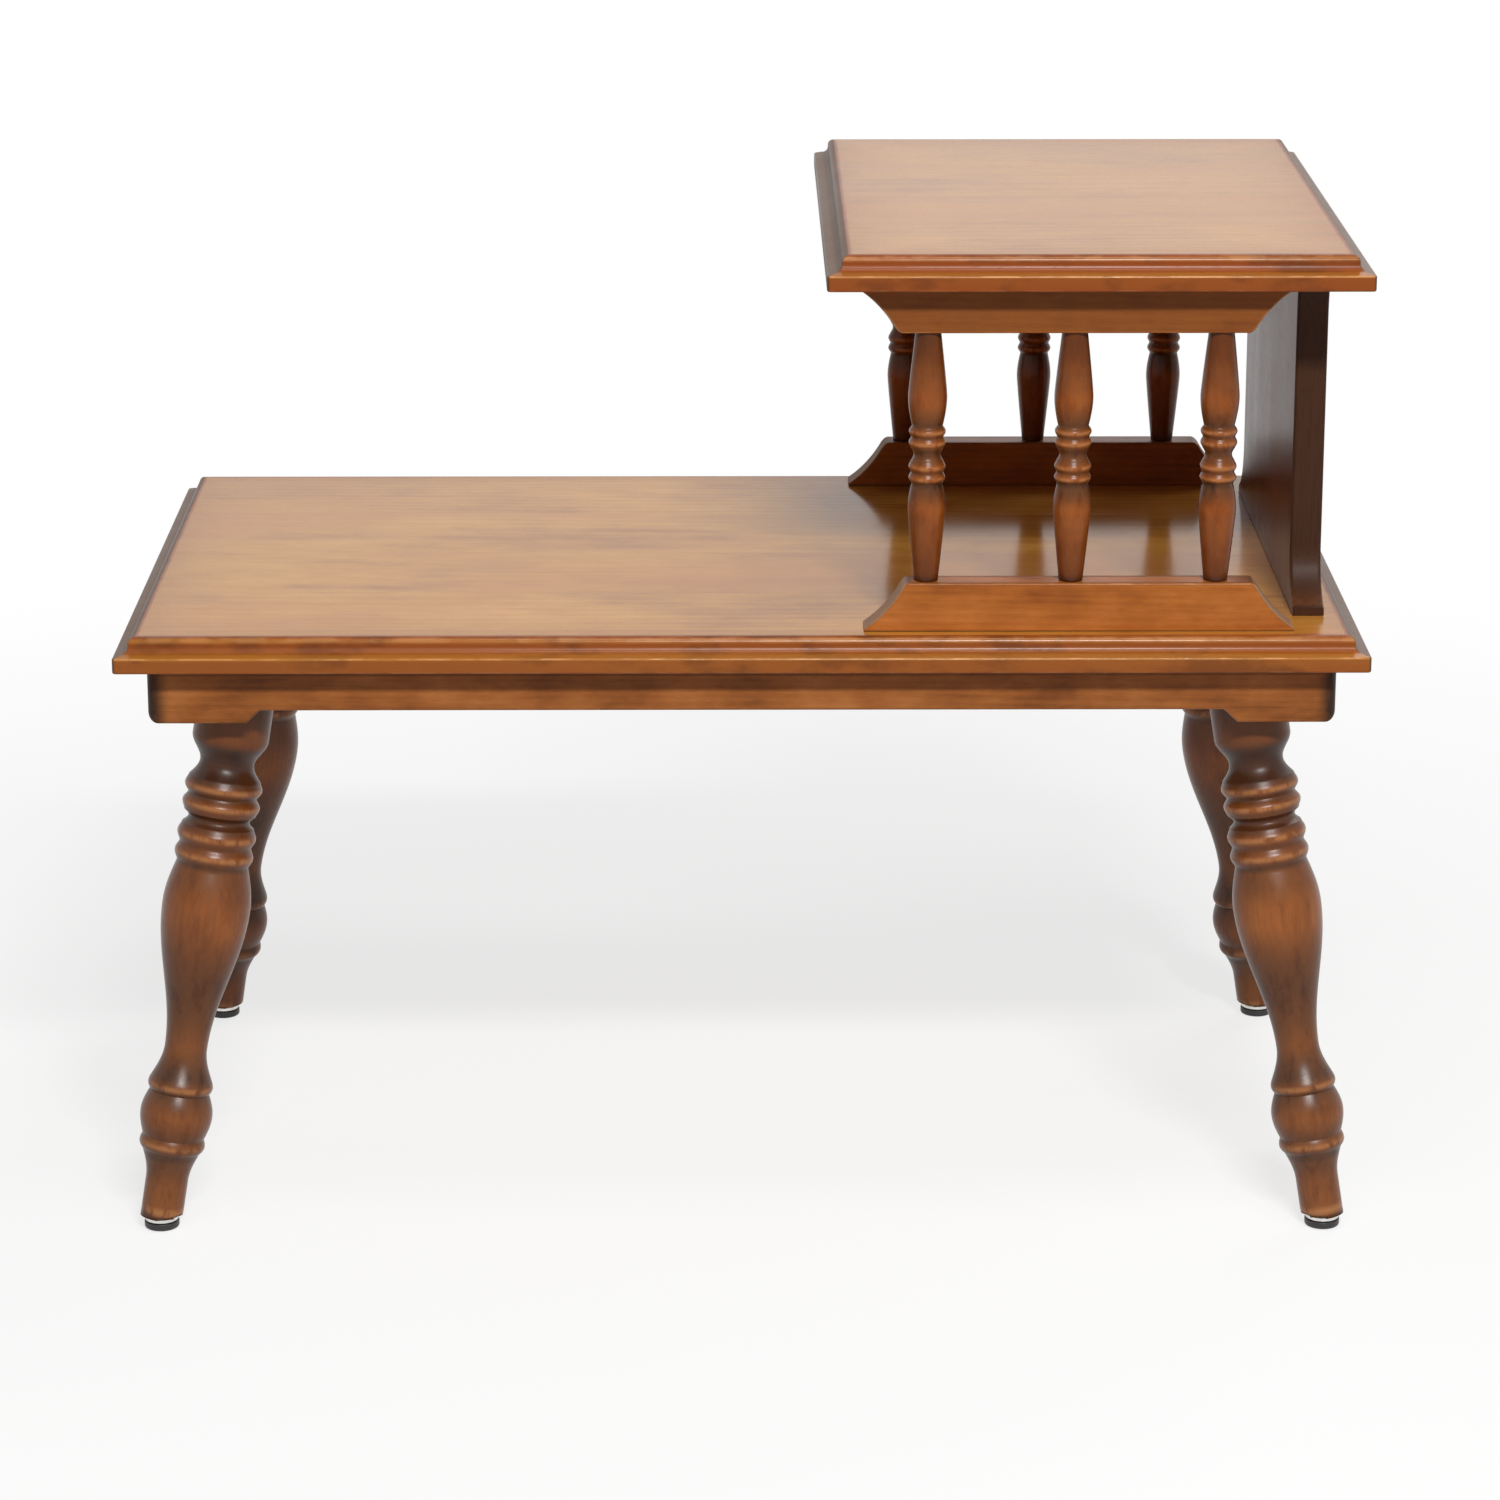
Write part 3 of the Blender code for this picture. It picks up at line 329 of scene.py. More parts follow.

# Staining, painted shade, rubbing and painted highlights of the boards; lists run across a moulding,
# from share 0 to 1
APRON_EDGE_STAIN = 0.15
APRON_END_FADE = (APRON_HALF_LENGTH - 0.013, APRON_HALF_LENGTH - 0.003)
CLEAT_EDGE_STAIN = 0.2
RAIL_END_STAIN = 0.25
# Painted shade: the walls of each lower rail, above all its top strip, are darkened where the upper top
# and the spindles shade them.
LOWER_RAIL_TOP_PAINTED_SHADE = 0.7
# Painted shade: the upper rails, under the overhang of the upper top, are darkened over their faces and
# walls.
UPPER_RAIL_PAINTED_SHADE = 0.45
UPPER_TOP_STAIN = 0.12
EDGE_FOOT_STAIN = 0.9
EDGE_FOOT_WEAR = 0.2
EDGE_BAND_STAIN = (0.85, 0.8)
EDGE_LEDGE_STAIN = 0.45
# Painted shade: the cove is darkened as in the shade of its undercut, which also hides its highlight.
EDGE_COVE_PAINTED_SHADE = [(0, 0.55), (0.3, 0.85), (1, 0.95)]
# Painted highlight: the round-over is left lighter and rubbed paler in broken lines where the lamp's
# highlight falls; it is darkly stained at its top.
EDGE_ROUND_STAIN_AND_HIGHLIGHT = [(0, 0.9), (0.2, 0.65), (0.45, 0.65), (0.7, 0.95), (1, 1.0)]
EDGE_ROUND_PAINTED_HIGHLIGHT = 0.4
BORDER_LINE_WIDTH = 0.0022
BORDER_SHADE_WIDTH = 0.045
BORDER_STAIN = 0.28


# Shaping


def add_object(name, shape):
    """Turn a bmesh into a linked object with its faces pointing out."""
    bmesh.ops.remove_doubles(shape, verts=shape.verts, dist=MERGE_DISTANCE)
    bmesh.ops.recalc_face_normals(shape, faces=shape.faces)
    mesh = bpy.data.meshes.new(name)
    shape.to_mesh(mesh)
    shape.free()
    piece = bpy.data.objects.new(name, mesh)
    bpy.context.scene.collection.objects.link(piece)
    return piece


def at(x, y, z):
    return Matrix.Translation((x, y, z))


def turn(outline, sides):
    """Spin (height, radius) marks that start and end on the Z axis into a closed body."""
    shape = bmesh.new()
    rings = []
    for height, radius in outline:
        if radius == 0:
            rings.append([shape.verts.new((0, 0, height))])
            continue
        ring = []
        for i in range(sides):
            angle = 2 * math.pi * i / sides
            ring.append(shape.verts.new((radius * math.cos(angle), radius * math.sin(angle), height)))
        rings.append(ring)
    for lower, upper in zip(rings, rings[1:]):
        for i in range(sides):
            j = (i + 1) % sides
            if len(lower) == 1:
                shape.faces.new((lower[0], upper[j], upper[i]))
            elif len(upper) == 1:
                shape.faces.new((lower[i], lower[j], upper[0]))
            else:
                shape.faces.new((lower[i], lower[j], upper[j], upper[i]))
    return shape


def loft(loops):
    """Skin equally long loops of points and close both ends with one face each."""
    shape = bmesh.new()
    rings = [[shape.verts.new(point) for point in loop] for loop in loops]
    count = len(rings[0])
    for lower, upper in zip(rings, rings[1:]):
        for i in range(count):
            j = (i + 1) % count
            shape.faces.new((lower[i], lower[j], upper[j], upper[i]))
    shape.faces.new(list(reversed(rings[0])))
    shape.faces.new(rings[-1])
    return shape


def shares(steps, first=0):
    """Even shares of a length, up to 1."""
    return [step / steps for step in range(first, steps + 1)]


def slow_start(share):
    return 1 - math.cos(math.pi / 2 * share)


def quick_start(share):
    return math.sin(math.pi / 2 * share)


def slow_ends(share):
    return (1 - math.cos(math.pi * share)) / 2


def sweep(outline, length, finish, steps, pace):
    """Carry a turned outline on to another radius at a given pace."""
    height, start = outline[-1]
    for share in shares(steps, 1):
        outline.append((height + length * share, start + (finish - start) * pace(share)))


def swell(outline, length, middle, finish, steps, crest=1.0):
    """Add a bead or a cove that is at its middle radius halfway; crest above 1 hollows its flanks."""
    height, start = outline[-1]
    for share in shares(steps, 1):
        end = start if share < 0.5 else finish
        rise = max(0.0, math.sin(math.pi * share)) ** crest
        outline.append((height + length * share, end + (middle - end) * rise))


def taper_share(share, fullness=0.9):
    """Place and rise of a mark on a straight taper that rounds off at its wide end."""
    place = 2 * fullness * share * (1 - share) + share**2
    rise = 2 * share * (1 - share) + share**2
    return place, rise


def taper_out(outline, length, finish, steps):
    height, start = outline[-1]
    for share in shares(steps, 1):
        place, rise = taper_share(share)
        outline.append((height + length * place, start + (finish - start) * rise))


def taper_in(outline, length, finish, steps):
    height, start = outline[-1]
    for share in reversed(shares(steps)[:-1]):
        place, rise = taper_share(share)
        outline.append((height + length * (1 - place), finish + (start - finish) * rise))


def round_over(outline, centre, radius, first_degrees, last_degrees):
    """Add an arc of (height, radius) marks; 0 degrees points outwards and 90 up."""
    for share in shares(ARC_STEPS):
        angle = math.radians(first_degrees + (last_degrees - first_degrees) * share)
        outline.append((centre[0] + radius * math.sin(angle), centre[1] + radius * math.cos(angle)))


def curve_point(start, bend, finish, share):
    """Point on a plain curve that leaves start and meets finish along lines through bend."""
    return start.lerp(bend, share).lerp(bend.lerp(finish, share), share)


def inward_steps(outline):
    """For each point of an outline going round to the left, the step that moves its edges in by 1."""
    steps = []
    for i, here in enumerate(outline):
        before = (here - outline[i - 1]).normalized()
        after = (outline[(i + 1) % len(outline)] - here).normalized()
        left = Vector((-before.y, before.x)) + Vector((-after.y, after.x))
        steps.append(left * 2 / left.length_squared)
    return steps


def mirrored(right):
    """The right half of an outline and its mirror image, as marks that begin with a point."""
    return right + [(Vector((-point.x, point.y)), *rest) for point, *rest in reversed(right)]


def plank(name, marks, thickness, back_round=None, face_stain=0.0, wall_stain=0.0):
    """A board, front at -Y, from marks round its outline in X and Z: point, edge rounding, staining.
    Darkening given for its faces and walls is painted shade.
    """
    inward = inward_steps([point for point, _rounding, _stain in marks])
    end_grain = [(step.x / step.length) ** 2 for step in inward]
    loops, wear, stain, ends = [], [], [], []

    def add_loop(side, share, extra=0.0, sink=0.0):
        """One loop on a rounded edge: share 0 is on the wall, 1 on the face."""
        angle = math.pi / 2 * share
        loops.append([])
        for (here, rounding, round_stain), step, end in zip(marks, inward, end_grain):
            if side > 0 and back_round:
                rounding = back_round
            spot = here + step * (rounding * (1 - math.cos(angle)) + extra)
            depth = thickness / 2 - rounding * (1 - math.sin(angle)) - sink
            loops[-1].append(Vector((spot.x, side * depth, spot.y)))
            wear.append(math.sin(math.pi * share))
            stain.append(face_stain if extra else wall_stain if sink else round_stain)
            ends.append(0.0 if extra else end * math.cos(angle * END_GRAIN_CREEP))

    add_loop(-1, 1, extra=SUPPORT_WIDTH)
    for share in reversed(shares(ARC_STEPS)):
        add_loop(-1, share)
    add_loop(-1, 0, sink=SUPPORT_WIDTH)
    add_loop(1, 0, sink=SUPPORT_WIDTH)
    for share in shares(ARC_STEPS):
        add_loop(1, share)
    add_loop(1, 1, extra=SUPPORT_WIDTH)
    piece = add_object(name, loft(loops))
    set_layers(piece, wear=wear, stain=stain, end_grain=ends)
    return piece


def set_layers(piece, **layers):
    """Give each point of a piece a number in each layer."""
    for name, values in layers.items():
        piece.data.attributes.new(name, "FLOAT", "POINT").data.foreach_set("value", values)


def carve(piece, cutters):
    """Take cutters' shapes out of a piece and remove the cutters."""
    for cutter in cutters:
        hole = piece.modifiers.new(cutter.name, "BOOLEAN")
        hole.operation = "DIFFERENCE"
        hole.solver = "EXACT"
        hole.object = cutter
    bpy.context.view_layer.update()
    ready = piece.evaluated_get(bpy.context.evaluated_depsgraph_get())
    mesh = bpy.data.meshes.new_from_object(ready)
    welded = bmesh.new()
    welded.from_mesh(mesh)
    bmesh.ops.remove_doubles(welded, verts=welded.verts, dist=WELD_DISTANCE)
    welded.to_mesh(mesh)
    welded.free()
    old = piece.data
    piece.modifiers.clear()
    piece.data = mesh
    bpy.data.meshes.remove(old)
    for cutter in cutters:
        cutter_mesh = cutter.data
        bpy.data.objects.remove(cutter, do_unlink=True)
        bpy.data.meshes.remove(cutter_mesh)


def add_cutter(name, outline, places, sides):
    """One hidden tool that removes the same turned shape at several places."""
    tool = bmesh.new()
    for place in places:
        single = turn(outline, sides)
        bmesh.ops.transform(single, matrix=place, verts=single.verts)
        single_mesh = bpy.data.meshes.new(name)
        single.to_mesh(single_mesh)
        single.free()
        tool.from_mesh(single_mesh)
        bpy.data.meshes.remove(single_mesh)
    cutter = add_object(name, tool)
    cutter.hide_render = True
    return cutter


def between(marks, place):
    """Value at a place on a list of (place, value) marks."""
    if place <= marks[0][0]:
        return marks[0][1]
    for (low, first), (high, second) in zip(marks, marks[1:]):
        if place <= high:
            return first + (second - first) * (place - low) / max(high - low, LEAST_STEP)
    return marks[-1][1]


def stain_marks(outline, marks, recess_depth):
    """Darkness along a turned outline, deeper where it lies below its neighbours: toner in the grooves
    and painted shade there.
    """
    body = [(height, radius) for height, radius in outline if marks[0][0] <= height <= marks[-1][0]]
    found = []
    for height, radius in body:
        crest = max(r for h, r in body if abs(h - height) <= RECESS_REACH)
        recess = min(1.0, (crest - radius) / recess_depth)
        found.append((height, min(1.0, between(marks, height) + RECESS_STAIN_AND_SHADE * recess)))
    return found


def finish_piece(piece, node, material, kind, number=0):
    """Shade a piece, lay its grain, give it its material and let it stand for its solid."""
    mesh = piece.data
    mesh.shade_smooth()
    mesh.set_sharp_from_angle(angle=SHARP_ANGLE)
    along, seed, lean = GRAIN[kind]
    pick = random.Random(seed + number)
    start = [pick.uniform(*span) for span in GRAIN_START]
    tilt = pick.choice((-1, 1)) * lean * pick.uniform(*GRAIN_LEAN_SPREAD)
    order = {"X": (0, 1, 2), "Z": (2, 0, 1)}[along]
    grain = []
    for vertex in mesh.vertices:
        length, across, through = (vertex.co[axis] for axis in order)
        grain.append(length + start[0])
        grain.append(across + start[1] + tilt * length)
        grain.append(through + start[2] + tilt * length / 2)
    layer = mesh.attributes.new("grain", "FLOAT_VECTOR", "POINT")
    layer.data.foreach_set("vector", grain)
    mesh.materials.clear()
    mesh.materials.append(material)
    bpy.context.view_layer.update()
    mesh.transform(piece.matrix_world)
    piece.matrix_world = Matrix.Identity(4)
    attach(piece, "root")
    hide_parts(node)


# Materials

# Noise textures: scale along each axis, detail, roughness, and a shift that keeps like ones apart
NOISES = {
    "drift": ((1.6, 7.0, 7.0), 2.0, 0.5),
    "fibre": ((9.0, 380.0, 380.0), 3.0, 0.6),
    "hair": ((45.0, 1700.0, 1700.0), 2.0, 0.6),
    "cloud": ((6.0, 14.0, 14.0), 3.0, 0.6),
    "smear": ((26.0, 48.0, 48.0), 3.0, 0.6, (5.1, 0.3, 1.1)),
    "patch": ((19.0, 90.0, 90.0), 2.0, 0.5, (2.3, 0.7, 0.4)),
    "tone": ((3.5, 8.0, 8.0), 2.0, 0.5, (0.9, 1.7, 0.2)),
    "dots": ((110.0, 2600.0, 2600.0), 1.0, 0.5),
    "end_dots": ((60.0, 1500.0, 1500.0), 2.0, 0.5),
    "rubbing": ((60.0, 130.0, 130.0), 3.0, 0.6),
    "plating": ((190.0, 190.0, 190.0), 3.0, 0.6),
    "scratches": ((60.0, 60.0, 4200.0), 2.0, 0.6),
    "dull_spots": ((520.0, 520.0, 520.0), 2.0, 0.5),
    "skin": ((2400.0, 2400.0, 2400.0), 2.0, 0.6),
    "scuffs": ((230.0, 230.0, 900.0), 3.0, 0.6),
}


def shade(colour, factor=1.0):
    """A colour times a factor, with the fourth number that sockets take."""
    return (*[channel * factor for channel in colour], 1.0)


class Graph:
    """The nodes of a material or a world, added by short calls."""

    def __init__(self, owner):
        owner.use_nodes = True
        self.owner = owner
        self.tree = owner.node_tree
        self.shader = self.tree.nodes.get("Principled BSDF")

    def plug(self, socket, value):
        if isinstance(value, bpy.types.NodeSocket):
            self.tree.links.new(value, socket)
        else:
            socket.default_value = value

    def node(self, kind, sockets=None, **settings):
        made = self.tree.nodes.new(kind)
        for key, value in settings.items():
            setattr(made, key, value)
        for key, value in (sockets or {}).items():
            self.plug(made.inputs[key], value)
        return made

    def math(self, operation, first, second=0.0):
        return self.node("ShaderNodeMath", {0: first, 1: second}, operation=operation).outputs[0]

    def times(self, first, second):
        return self.math("MULTIPLY", first, second)

    def stretch(self, vector, scale):
        return self.node("ShaderNodeVectorMath", {0: vector, 1: scale}, operation="MULTIPLY").outputs[0]

    def shift(self, first, second):
        return self.node("ShaderNodeVectorMath", {0: first, 1: second}, operation="ADD").outputs[0]

    def component(self, vector, axis):
        return self.node("ShaderNodeSeparateXYZ", {0: vector}).outputs[axis]

    def place(self):
        return self.node("ShaderNodeTexCoord").outputs["Object"]

    def noise(self, name, vector, output="Fac"):
        scale, detail, roughness, *apart = NOISES[name]
        for step in apart:
            vector = self.shift(vector, step)
        vector = self.stretch(vector, scale)
        sockets = {"Vector": vector, "Scale": 1.0, "Detail": detail, "Roughness": roughness}
        return self.node("ShaderNodeTexNoise", sockets).outputs[output]

    def spread(self, value, low, high, least=0.0):
        """The least below low, 1 above high, smooth between."""
        sockets = {"Value": value, "From Min": low, "From Max": high, "To Min": least}
        made = self.node("ShaderNodeMapRange", sockets, interpolation_type="SMOOTHSTEP")
        return made.outputs["Result"]

    def around(self, value, amount):
        """How far a value lies from a half, times an amount."""
        return self.times(self.math("SUBTRACT", value, 0.5), amount)

    def total(self, start, *parts):
        for part in parts:
            start = self.math("ADD", start, part)
        return start

    def weighed(self, share_of, **layers):
        """Layers times their shares, added up."""
        return self.total(*[self.times(layers[name], share) for name, share in share_of.items()])

    def mix(self, share, first, second):
        return self.node("ShaderNodeMix", {0: share, 6: first, 7: second}, data_type="RGBA").outputs[2]

    def ramp(self, value, places, colours):
        made = self.node("ShaderNodeValToRGB", {"Fac": value})
        elements = made.color_ramp.elements
        while len(elements) < len(places):
            elements.new(0.5)
        for element, place, colour in zip(elements, places, colours):
            element.position = place
            element.color = shade(colour)
        return made.outputs["Color"]

    def layer(self, name, output="Fac"):
        return self.node("ShaderNodeAttribute", attribute_name=name).outputs[output]

    def bump(self, height, strength, distance):
        sockets = {"Strength": strength, "Distance": distance, "Height": height}
        made = self.node("ShaderNodeBump", sockets)
        self.plug(self.shader.inputs["Normal"], made.outputs["Normal"])

    def set(self, **sockets):
        for key, value in sockets.items():
            self.plug(self.shader.inputs[key.replace("_", " ")], value)


# Shares and ranges that all the woods have in common
STAVE_SHIFT = (3.0, 0.08, 0.05)
STAVE_SHADE = 0.16
DRIFT_REACH = (0.0, 0.02, 0.02)
RING_STRETCH = (0.05, 1.0, 1.0)
RING_SCALE = 0.314
FIBRE_CONTRAST = 0.9
HAIR_CONTRAST = 0.45
WOOD_RAMP = (0.05, 0.5, 0.95)
FLECK_RANGE = (0.62, 0.78)
PORE_RANGE = (0.60, 0.70)
PORE_SHARE = 0.32
PORE_SHADE = 0.45
WARM_RANGE = (0.46, 0.66)
WARM_SHARE = 0.6
STAIN_CLOUDING = 3.2
STAIN_STREAKING = 0.7
GRIME_RANGE = (0.48, 0.68)
GRIME_SHARE = 0.6
GRIME_SHADE = 0.4
END_PORE_RANGE = (0.48, 0.62)
END_PORE_SHARE = 0.5
END_PORE_SHADE = 0.5
END_GRAIN_RANGE = (0.05, 0.55)
END_GRAIN_SHARE = 0.95
END_FADE_WANDER = 0.008
END_FADE_SHARE = 0.92
RUBBED_AND_HIGHLIGHT_SHARE = 0.55
RAW_FACING = (-0.6, -0.9)
RAW_ROUGHNESS = 0.4
WOOD_ROUGHNESS = {"fibre": 0.10, "cloud": 0.14, "pores": 0.12, "wear": -0.06, "end_grain": 0.15}
WOOD_RELIEF = {"hair": 0.4, "fibre": 0.35, "rings": 0.12, "pores": -0.7}
WOOD_RELIEF_HEIGHT = 0.0003

# Shares and ranges of the metals and the rubber
PLATING_RAMP = (0.25, 0.75)
DULL_SPOT_RANGE = (0.62, 0.74)
DULL_SPOT_SHARE = 0.45
DULL_SPOT_SHADE = 0.4
METAL_ROUGHNESS = {"cloud": 0.2, "lines": 0.12, "spots": 0.2}
METAL_RELIEF = {"lines": 0.6, "spots": -0.5}
SKIN_RAMP = (0.3, 0.8)
SCUFF_RANGE = (0.52, 0.72)
SCUFF_SHARE = 0.35
RUBBER_ROUGHNESS = {"start": 0.42, "skin": 0.2, "scuff": 0.25}
RUBBER_RELIEF = {"skin": 0.6, "scuff": 0.3}
RUBBER_BUMP = 0.25
FINE_RELIEF_HEIGHT = 0.0001


def wood(
    name, pale, middle, dark, stained, worn_and_highlight_colour, ends, ring_spacing=0.0045, figure=0.35, rough=0.3, ior=1.4,
    stave=0.0, bump=0.12, mottle=1.0, blotch=0.4, fine=1.0, flecks=0.30, rub_and_highlight_range=(0.46, 0.66), dull=0.16,
    warm=None, end_fade=None, raw_below=False, own_grain=True,
):
    """Lacquered hardwood: growth rings, fibres, pores, flecks, staining with painted shade, and rubbed
    edges with painted highlights.
    """
    g = Graph(bpy.data.materials.new(name))
    grain = g.layer("grain", "Vector") if own_grain else g.place()
    board_shade = 0.0
    if stave:
        number = g.math("FLOOR", g.math("DIVIDE", g.component(grain, "Y"), stave))
        chance = g.node("ShaderNodeTexWhiteNoise", {"W": number}, noise_dimensions="1D")
        grain = g.shift(grain, g.stretch(chance.outputs["Color"], STAVE_SHIFT))
        board_shade = g.around(chance.outputs["Value"], STAVE_SHADE)
    bent = g.shift(grain, g.stretch(g.noise("drift", grain, "Color"), DRIFT_REACH))
    ring_sockets = {
        "Vector": g.stretch(bent, RING_STRETCH), "Scale": RING_SCALE / ring_spacing, "Distortion": 2.2,
        "Detail": 3.0, "Detail Scale": 1.0, "Detail Roughness": 0.55,
    }
    wave = g.node("ShaderNodeTexWave", ring_sockets, wave_type="RINGS", rings_direction="X")
    rings = wave.outputs["Fac"]
    fibre = g.noise("fibre", bent)
    hair = g.noise("hair", grain)
    cloud = g.noise("cloud", grain)
    smear = g.noise("smear", grain)
    fleck = g.spread(g.noise("patch", grain), *FLECK_RANGE)
    pores = g.spread(g.noise("dots", grain), *PORE_RANGE)
    level = g.total(
        0.5, g.around(rings, figure), g.around(fibre, FIBRE_CONTRAST * fine),
        g.around(hair, HAIR_CONTRAST * fine), g.around(cloud, mottle), g.around(smear, blotch),
        board_shade,
    )
    colour = g.ramp(level, WOOD_RAMP, (dark, middle, pale))
    if warm:
        tone = g.spread(g.noise("tone", grain), *WARM_RANGE)
        colour = g.mix(g.times(tone, WARM_SHARE), colour, shade(warm))
    colour = g.mix(g.times(fleck, flecks), colour, shade(dark))
    colour = g.mix(g.times(pores, PORE_SHARE * fine), colour, shade(dark, PORE_SHADE))

    # Staining layer: real staining and toner, but also painted shade in coves, grooves and under
    # overhangs, and a lighter painted highlight band on the round-over; the clouding and grime below
    # deepen that painted shade too.
    stain = g.layer("stain")
    partly = g.times(stain, g.math("SUBTRACT", 1.0, stain))
    clouding = g.times(g.around(cloud, STAIN_CLOUDING), partly)
    uneven = g.total(stain, clouding, g.times(g.around(fibre, STAIN_STREAKING), partly))
    colour = g.mix(g.math("MAXIMUM", g.math("MINIMUM", uneven, 1.0), 0.0), colour, shade(stained))
    grime = g.times(g.spread(smear, *GRIME_RANGE), stain)
    colour = g.mix(g.times(grime, GRIME_SHARE), colour, shade(stained, GRIME_SHADE))

    end_pores = g.spread(g.noise("end_dots", grain), *END_PORE_RANGE)
    end_colour = g.mix(g.times(end_pores, END_PORE_SHARE), shade(ends), shade(ends, END_PORE_SHADE))
    end_grain = g.spread(g.layer("end_grain"), *END_GRAIN_RANGE)
    if end_fade:
        from_middle = g.math("ABSOLUTE", g.component(g.place(), "X"))
        reach = g.total(from_middle, g.around(smear, END_FADE_WANDER))
        end_grain = g.math("MAXIMUM", end_grain, g.times(g.spread(reach, *end_fade), END_FADE_SHARE))
    colour = g.mix(g.times(end_grain, END_GRAIN_SHARE), colour, end_colour)

    # Rubbing layer: worn edges and crests, and also painted highlight lines on the mouldings, arrises
    # and ring crests, all mixed in the paler worn colour.
    wear = g.layer("wear")
    rubbed_and_highlight = g.times(wear, g.spread(g.noise("rubbing", grain), *rub_and_highlight_range))
    rubbed_and_highlight = g.times(rubbed_and_highlight, g.math("SUBTRACT", 1.0, end_grain))
    colour = g.mix(g.times(rubbed_and_highlight, RUBBED_AND_HIGHLIGHT_SHARE), colour, shade(worn_and_highlight_colour))

    share_of = WOOD_ROUGHNESS
    roughness = g.total(
        rough, g.around(fibre, share_of["fibre"]), g.around(cloud, share_of["cloud"]),
        g.times(pores, share_of["pores"]), g.times(wear, share_of["wear"]), g.times(stain, dull),
        g.times(end_grain, share_of["end_grain"]),
    )
    if raw_below:
        facing = g.component(g.node("ShaderNodeNewGeometry").outputs["Normal"], "Z")
        raw = g.spread(facing, *RAW_FACING)
        roughness = g.math("ADD", roughness, g.times(raw, RAW_ROUGHNESS))
    relief = g.weighed(WOOD_RELIEF, hair=hair, fibre=fibre, rings=rings, pores=pores)
    g.bump(relief, bump, WOOD_RELIEF_HEIGHT)
    g.set(Base_Color=colour, Roughness=roughness, IOR=ior)
    return g.owner


def metal(name, pale, dark, rough, scratch):
    """Plated metal with cloudy plating, fine scratches and a few dull spots."""
    g = Graph(bpy.data.materials.new(name))
    place = g.place()
    cloud = g.noise("plating", place)
    lines = g.noise("scratches", place)
    spots = g.spread(g.noise("dull_spots", place), *DULL_SPOT_RANGE)
    colour = g.ramp(cloud, PLATING_RAMP, (dark, pale))
    colour = g.mix(g.times(spots, DULL_SPOT_SHARE), colour, shade(dark, DULL_SPOT_SHADE))
    g.bump(g.weighed(METAL_RELIEF, lines=lines, spots=spots), scratch, FINE_RELIEF_HEIGHT)
    share_of = METAL_ROUGHNESS
    roughness = g.total(
        rough, g.around(cloud, share_of["cloud"]), g.around(lines, share_of["lines"]),
        g.times(spots, share_of["spots"]),
    )
    g.set(Base_Color=colour, Roughness=roughness, Metallic=1.0)
    return g.owner


def rubber(name, pale, dark, dust):
    """Moulded dark pad with a matt skin, scuffs and floor dust."""
    g = Graph(bpy.data.materials.new(name))
    place = g.place()
    skin = g.noise("skin", place)
    scuff = g.spread(g.noise("scuffs", place), *SCUFF_RANGE)
    colour = g.ramp(skin, SKIN_RAMP, (dark, pale))
    colour = g.mix(g.times(scuff, SCUFF_SHARE), colour, shade(dust))
    g.bump(g.weighed(RUBBER_RELIEF, skin=skin, scuff=scuff), RUBBER_BUMP, FINE_RELIEF_HEIGHT)
    share_of = RUBBER_ROUGHNESS
    roughness = g.total(
        share_of["start"], g.around(skin, share_of["skin"]), g.times(scuff, share_of["scuff"]),
    )
    g.set(Base_Color=colour, Roughness=roughness)
    return g.owner


TOP_WOOD = wood(
    "top_wood_amber",
    pale=(0.69, 0.342, 0.072), middle=(0.56, 0.250, 0.038), dark=(0.38, 0.138, 0.017),
    stained=(0.235, 0.050, 0.004), worn_and_highlight_colour=(0.72, 0.34, 0.13), ends=(0.085, 0.038, 0.014),
    ring_spacing=0.007, figure=0.14, rough=0.14, ior=1.315, stave=0.098, bump=0.035, mottle=1.4,
    blotch=0.75, fine=0.55, flecks=0.2, rub_and_highlight_range=(0.42, 0.62), warm=(0.55, 0.210, 0.038), raw_below=True,
)
APRON_WOOD = wood(
    "apron_wood_brown",
    pale=(0.41, 0.148, 0.040), middle=(0.31, 0.100, 0.023), dark=(0.18, 0.054, 0.012),
    stained=(0.055, 0.020, 0.008), worn_and_highlight_colour=(0.46, 0.19, 0.065), ends=(0.025, 0.014, 0.010),
    figure=0.10, rough=0.30, ior=1.24, mottle=1.1, blotch=1.7, fine=0.5, end_fade=APRON_END_FADE,
)
# The pale ends colour of the rails is a painted sheen on their hollow ends.
RAIL_WOOD = wood(
    "rail_wood_amber",
    pale=(0.49, 0.163, 0.033), middle=(0.38, 0.112, 0.018), dark=(0.23, 0.060, 0.010),
    stained=(0.055, 0.020, 0.008), worn_and_highlight_colour=(0.55, 0.25, 0.09), ends=(0.32, 0.18, 0.10),
    figure=0.10, rough=0.30, ior=1.24, mottle=1.1, blotch=1.2, fine=0.6,
)
TURNED_LOOK = dict(
    stained=(0.052, 0.016, 0.005), worn_and_highlight_colour=(0.58, 0.25, 0.09), ends=(0.06, 0.02, 0.008),
    ring_spacing=0.0035, figure=0.07, mottle=1.2, blotch=1.2, fine=0.5, flecks=0.12, rub_and_highlight_range=(0.34, 0.54),
    dull=0.05,
)
LEG_WOOD = wood(
    "turned_wood_leg",
    pale=(0.38, 0.116, 0.021), middle=(0.255, 0.070, 0.011), dark=(0.135, 0.035, 0.006),
    rough=0.28, ior=1.37, **TURNED_LOOK,
)
SPINDLE_WOOD = wood(
    "turned_wood_spindle",
    pale=(0.40, 0.108, 0.014), middle=(0.275, 0.063, 0.006), dark=(0.145, 0.031, 0.003),
    rough=0.25, ior=1.28, **TURNED_LOOK,
)
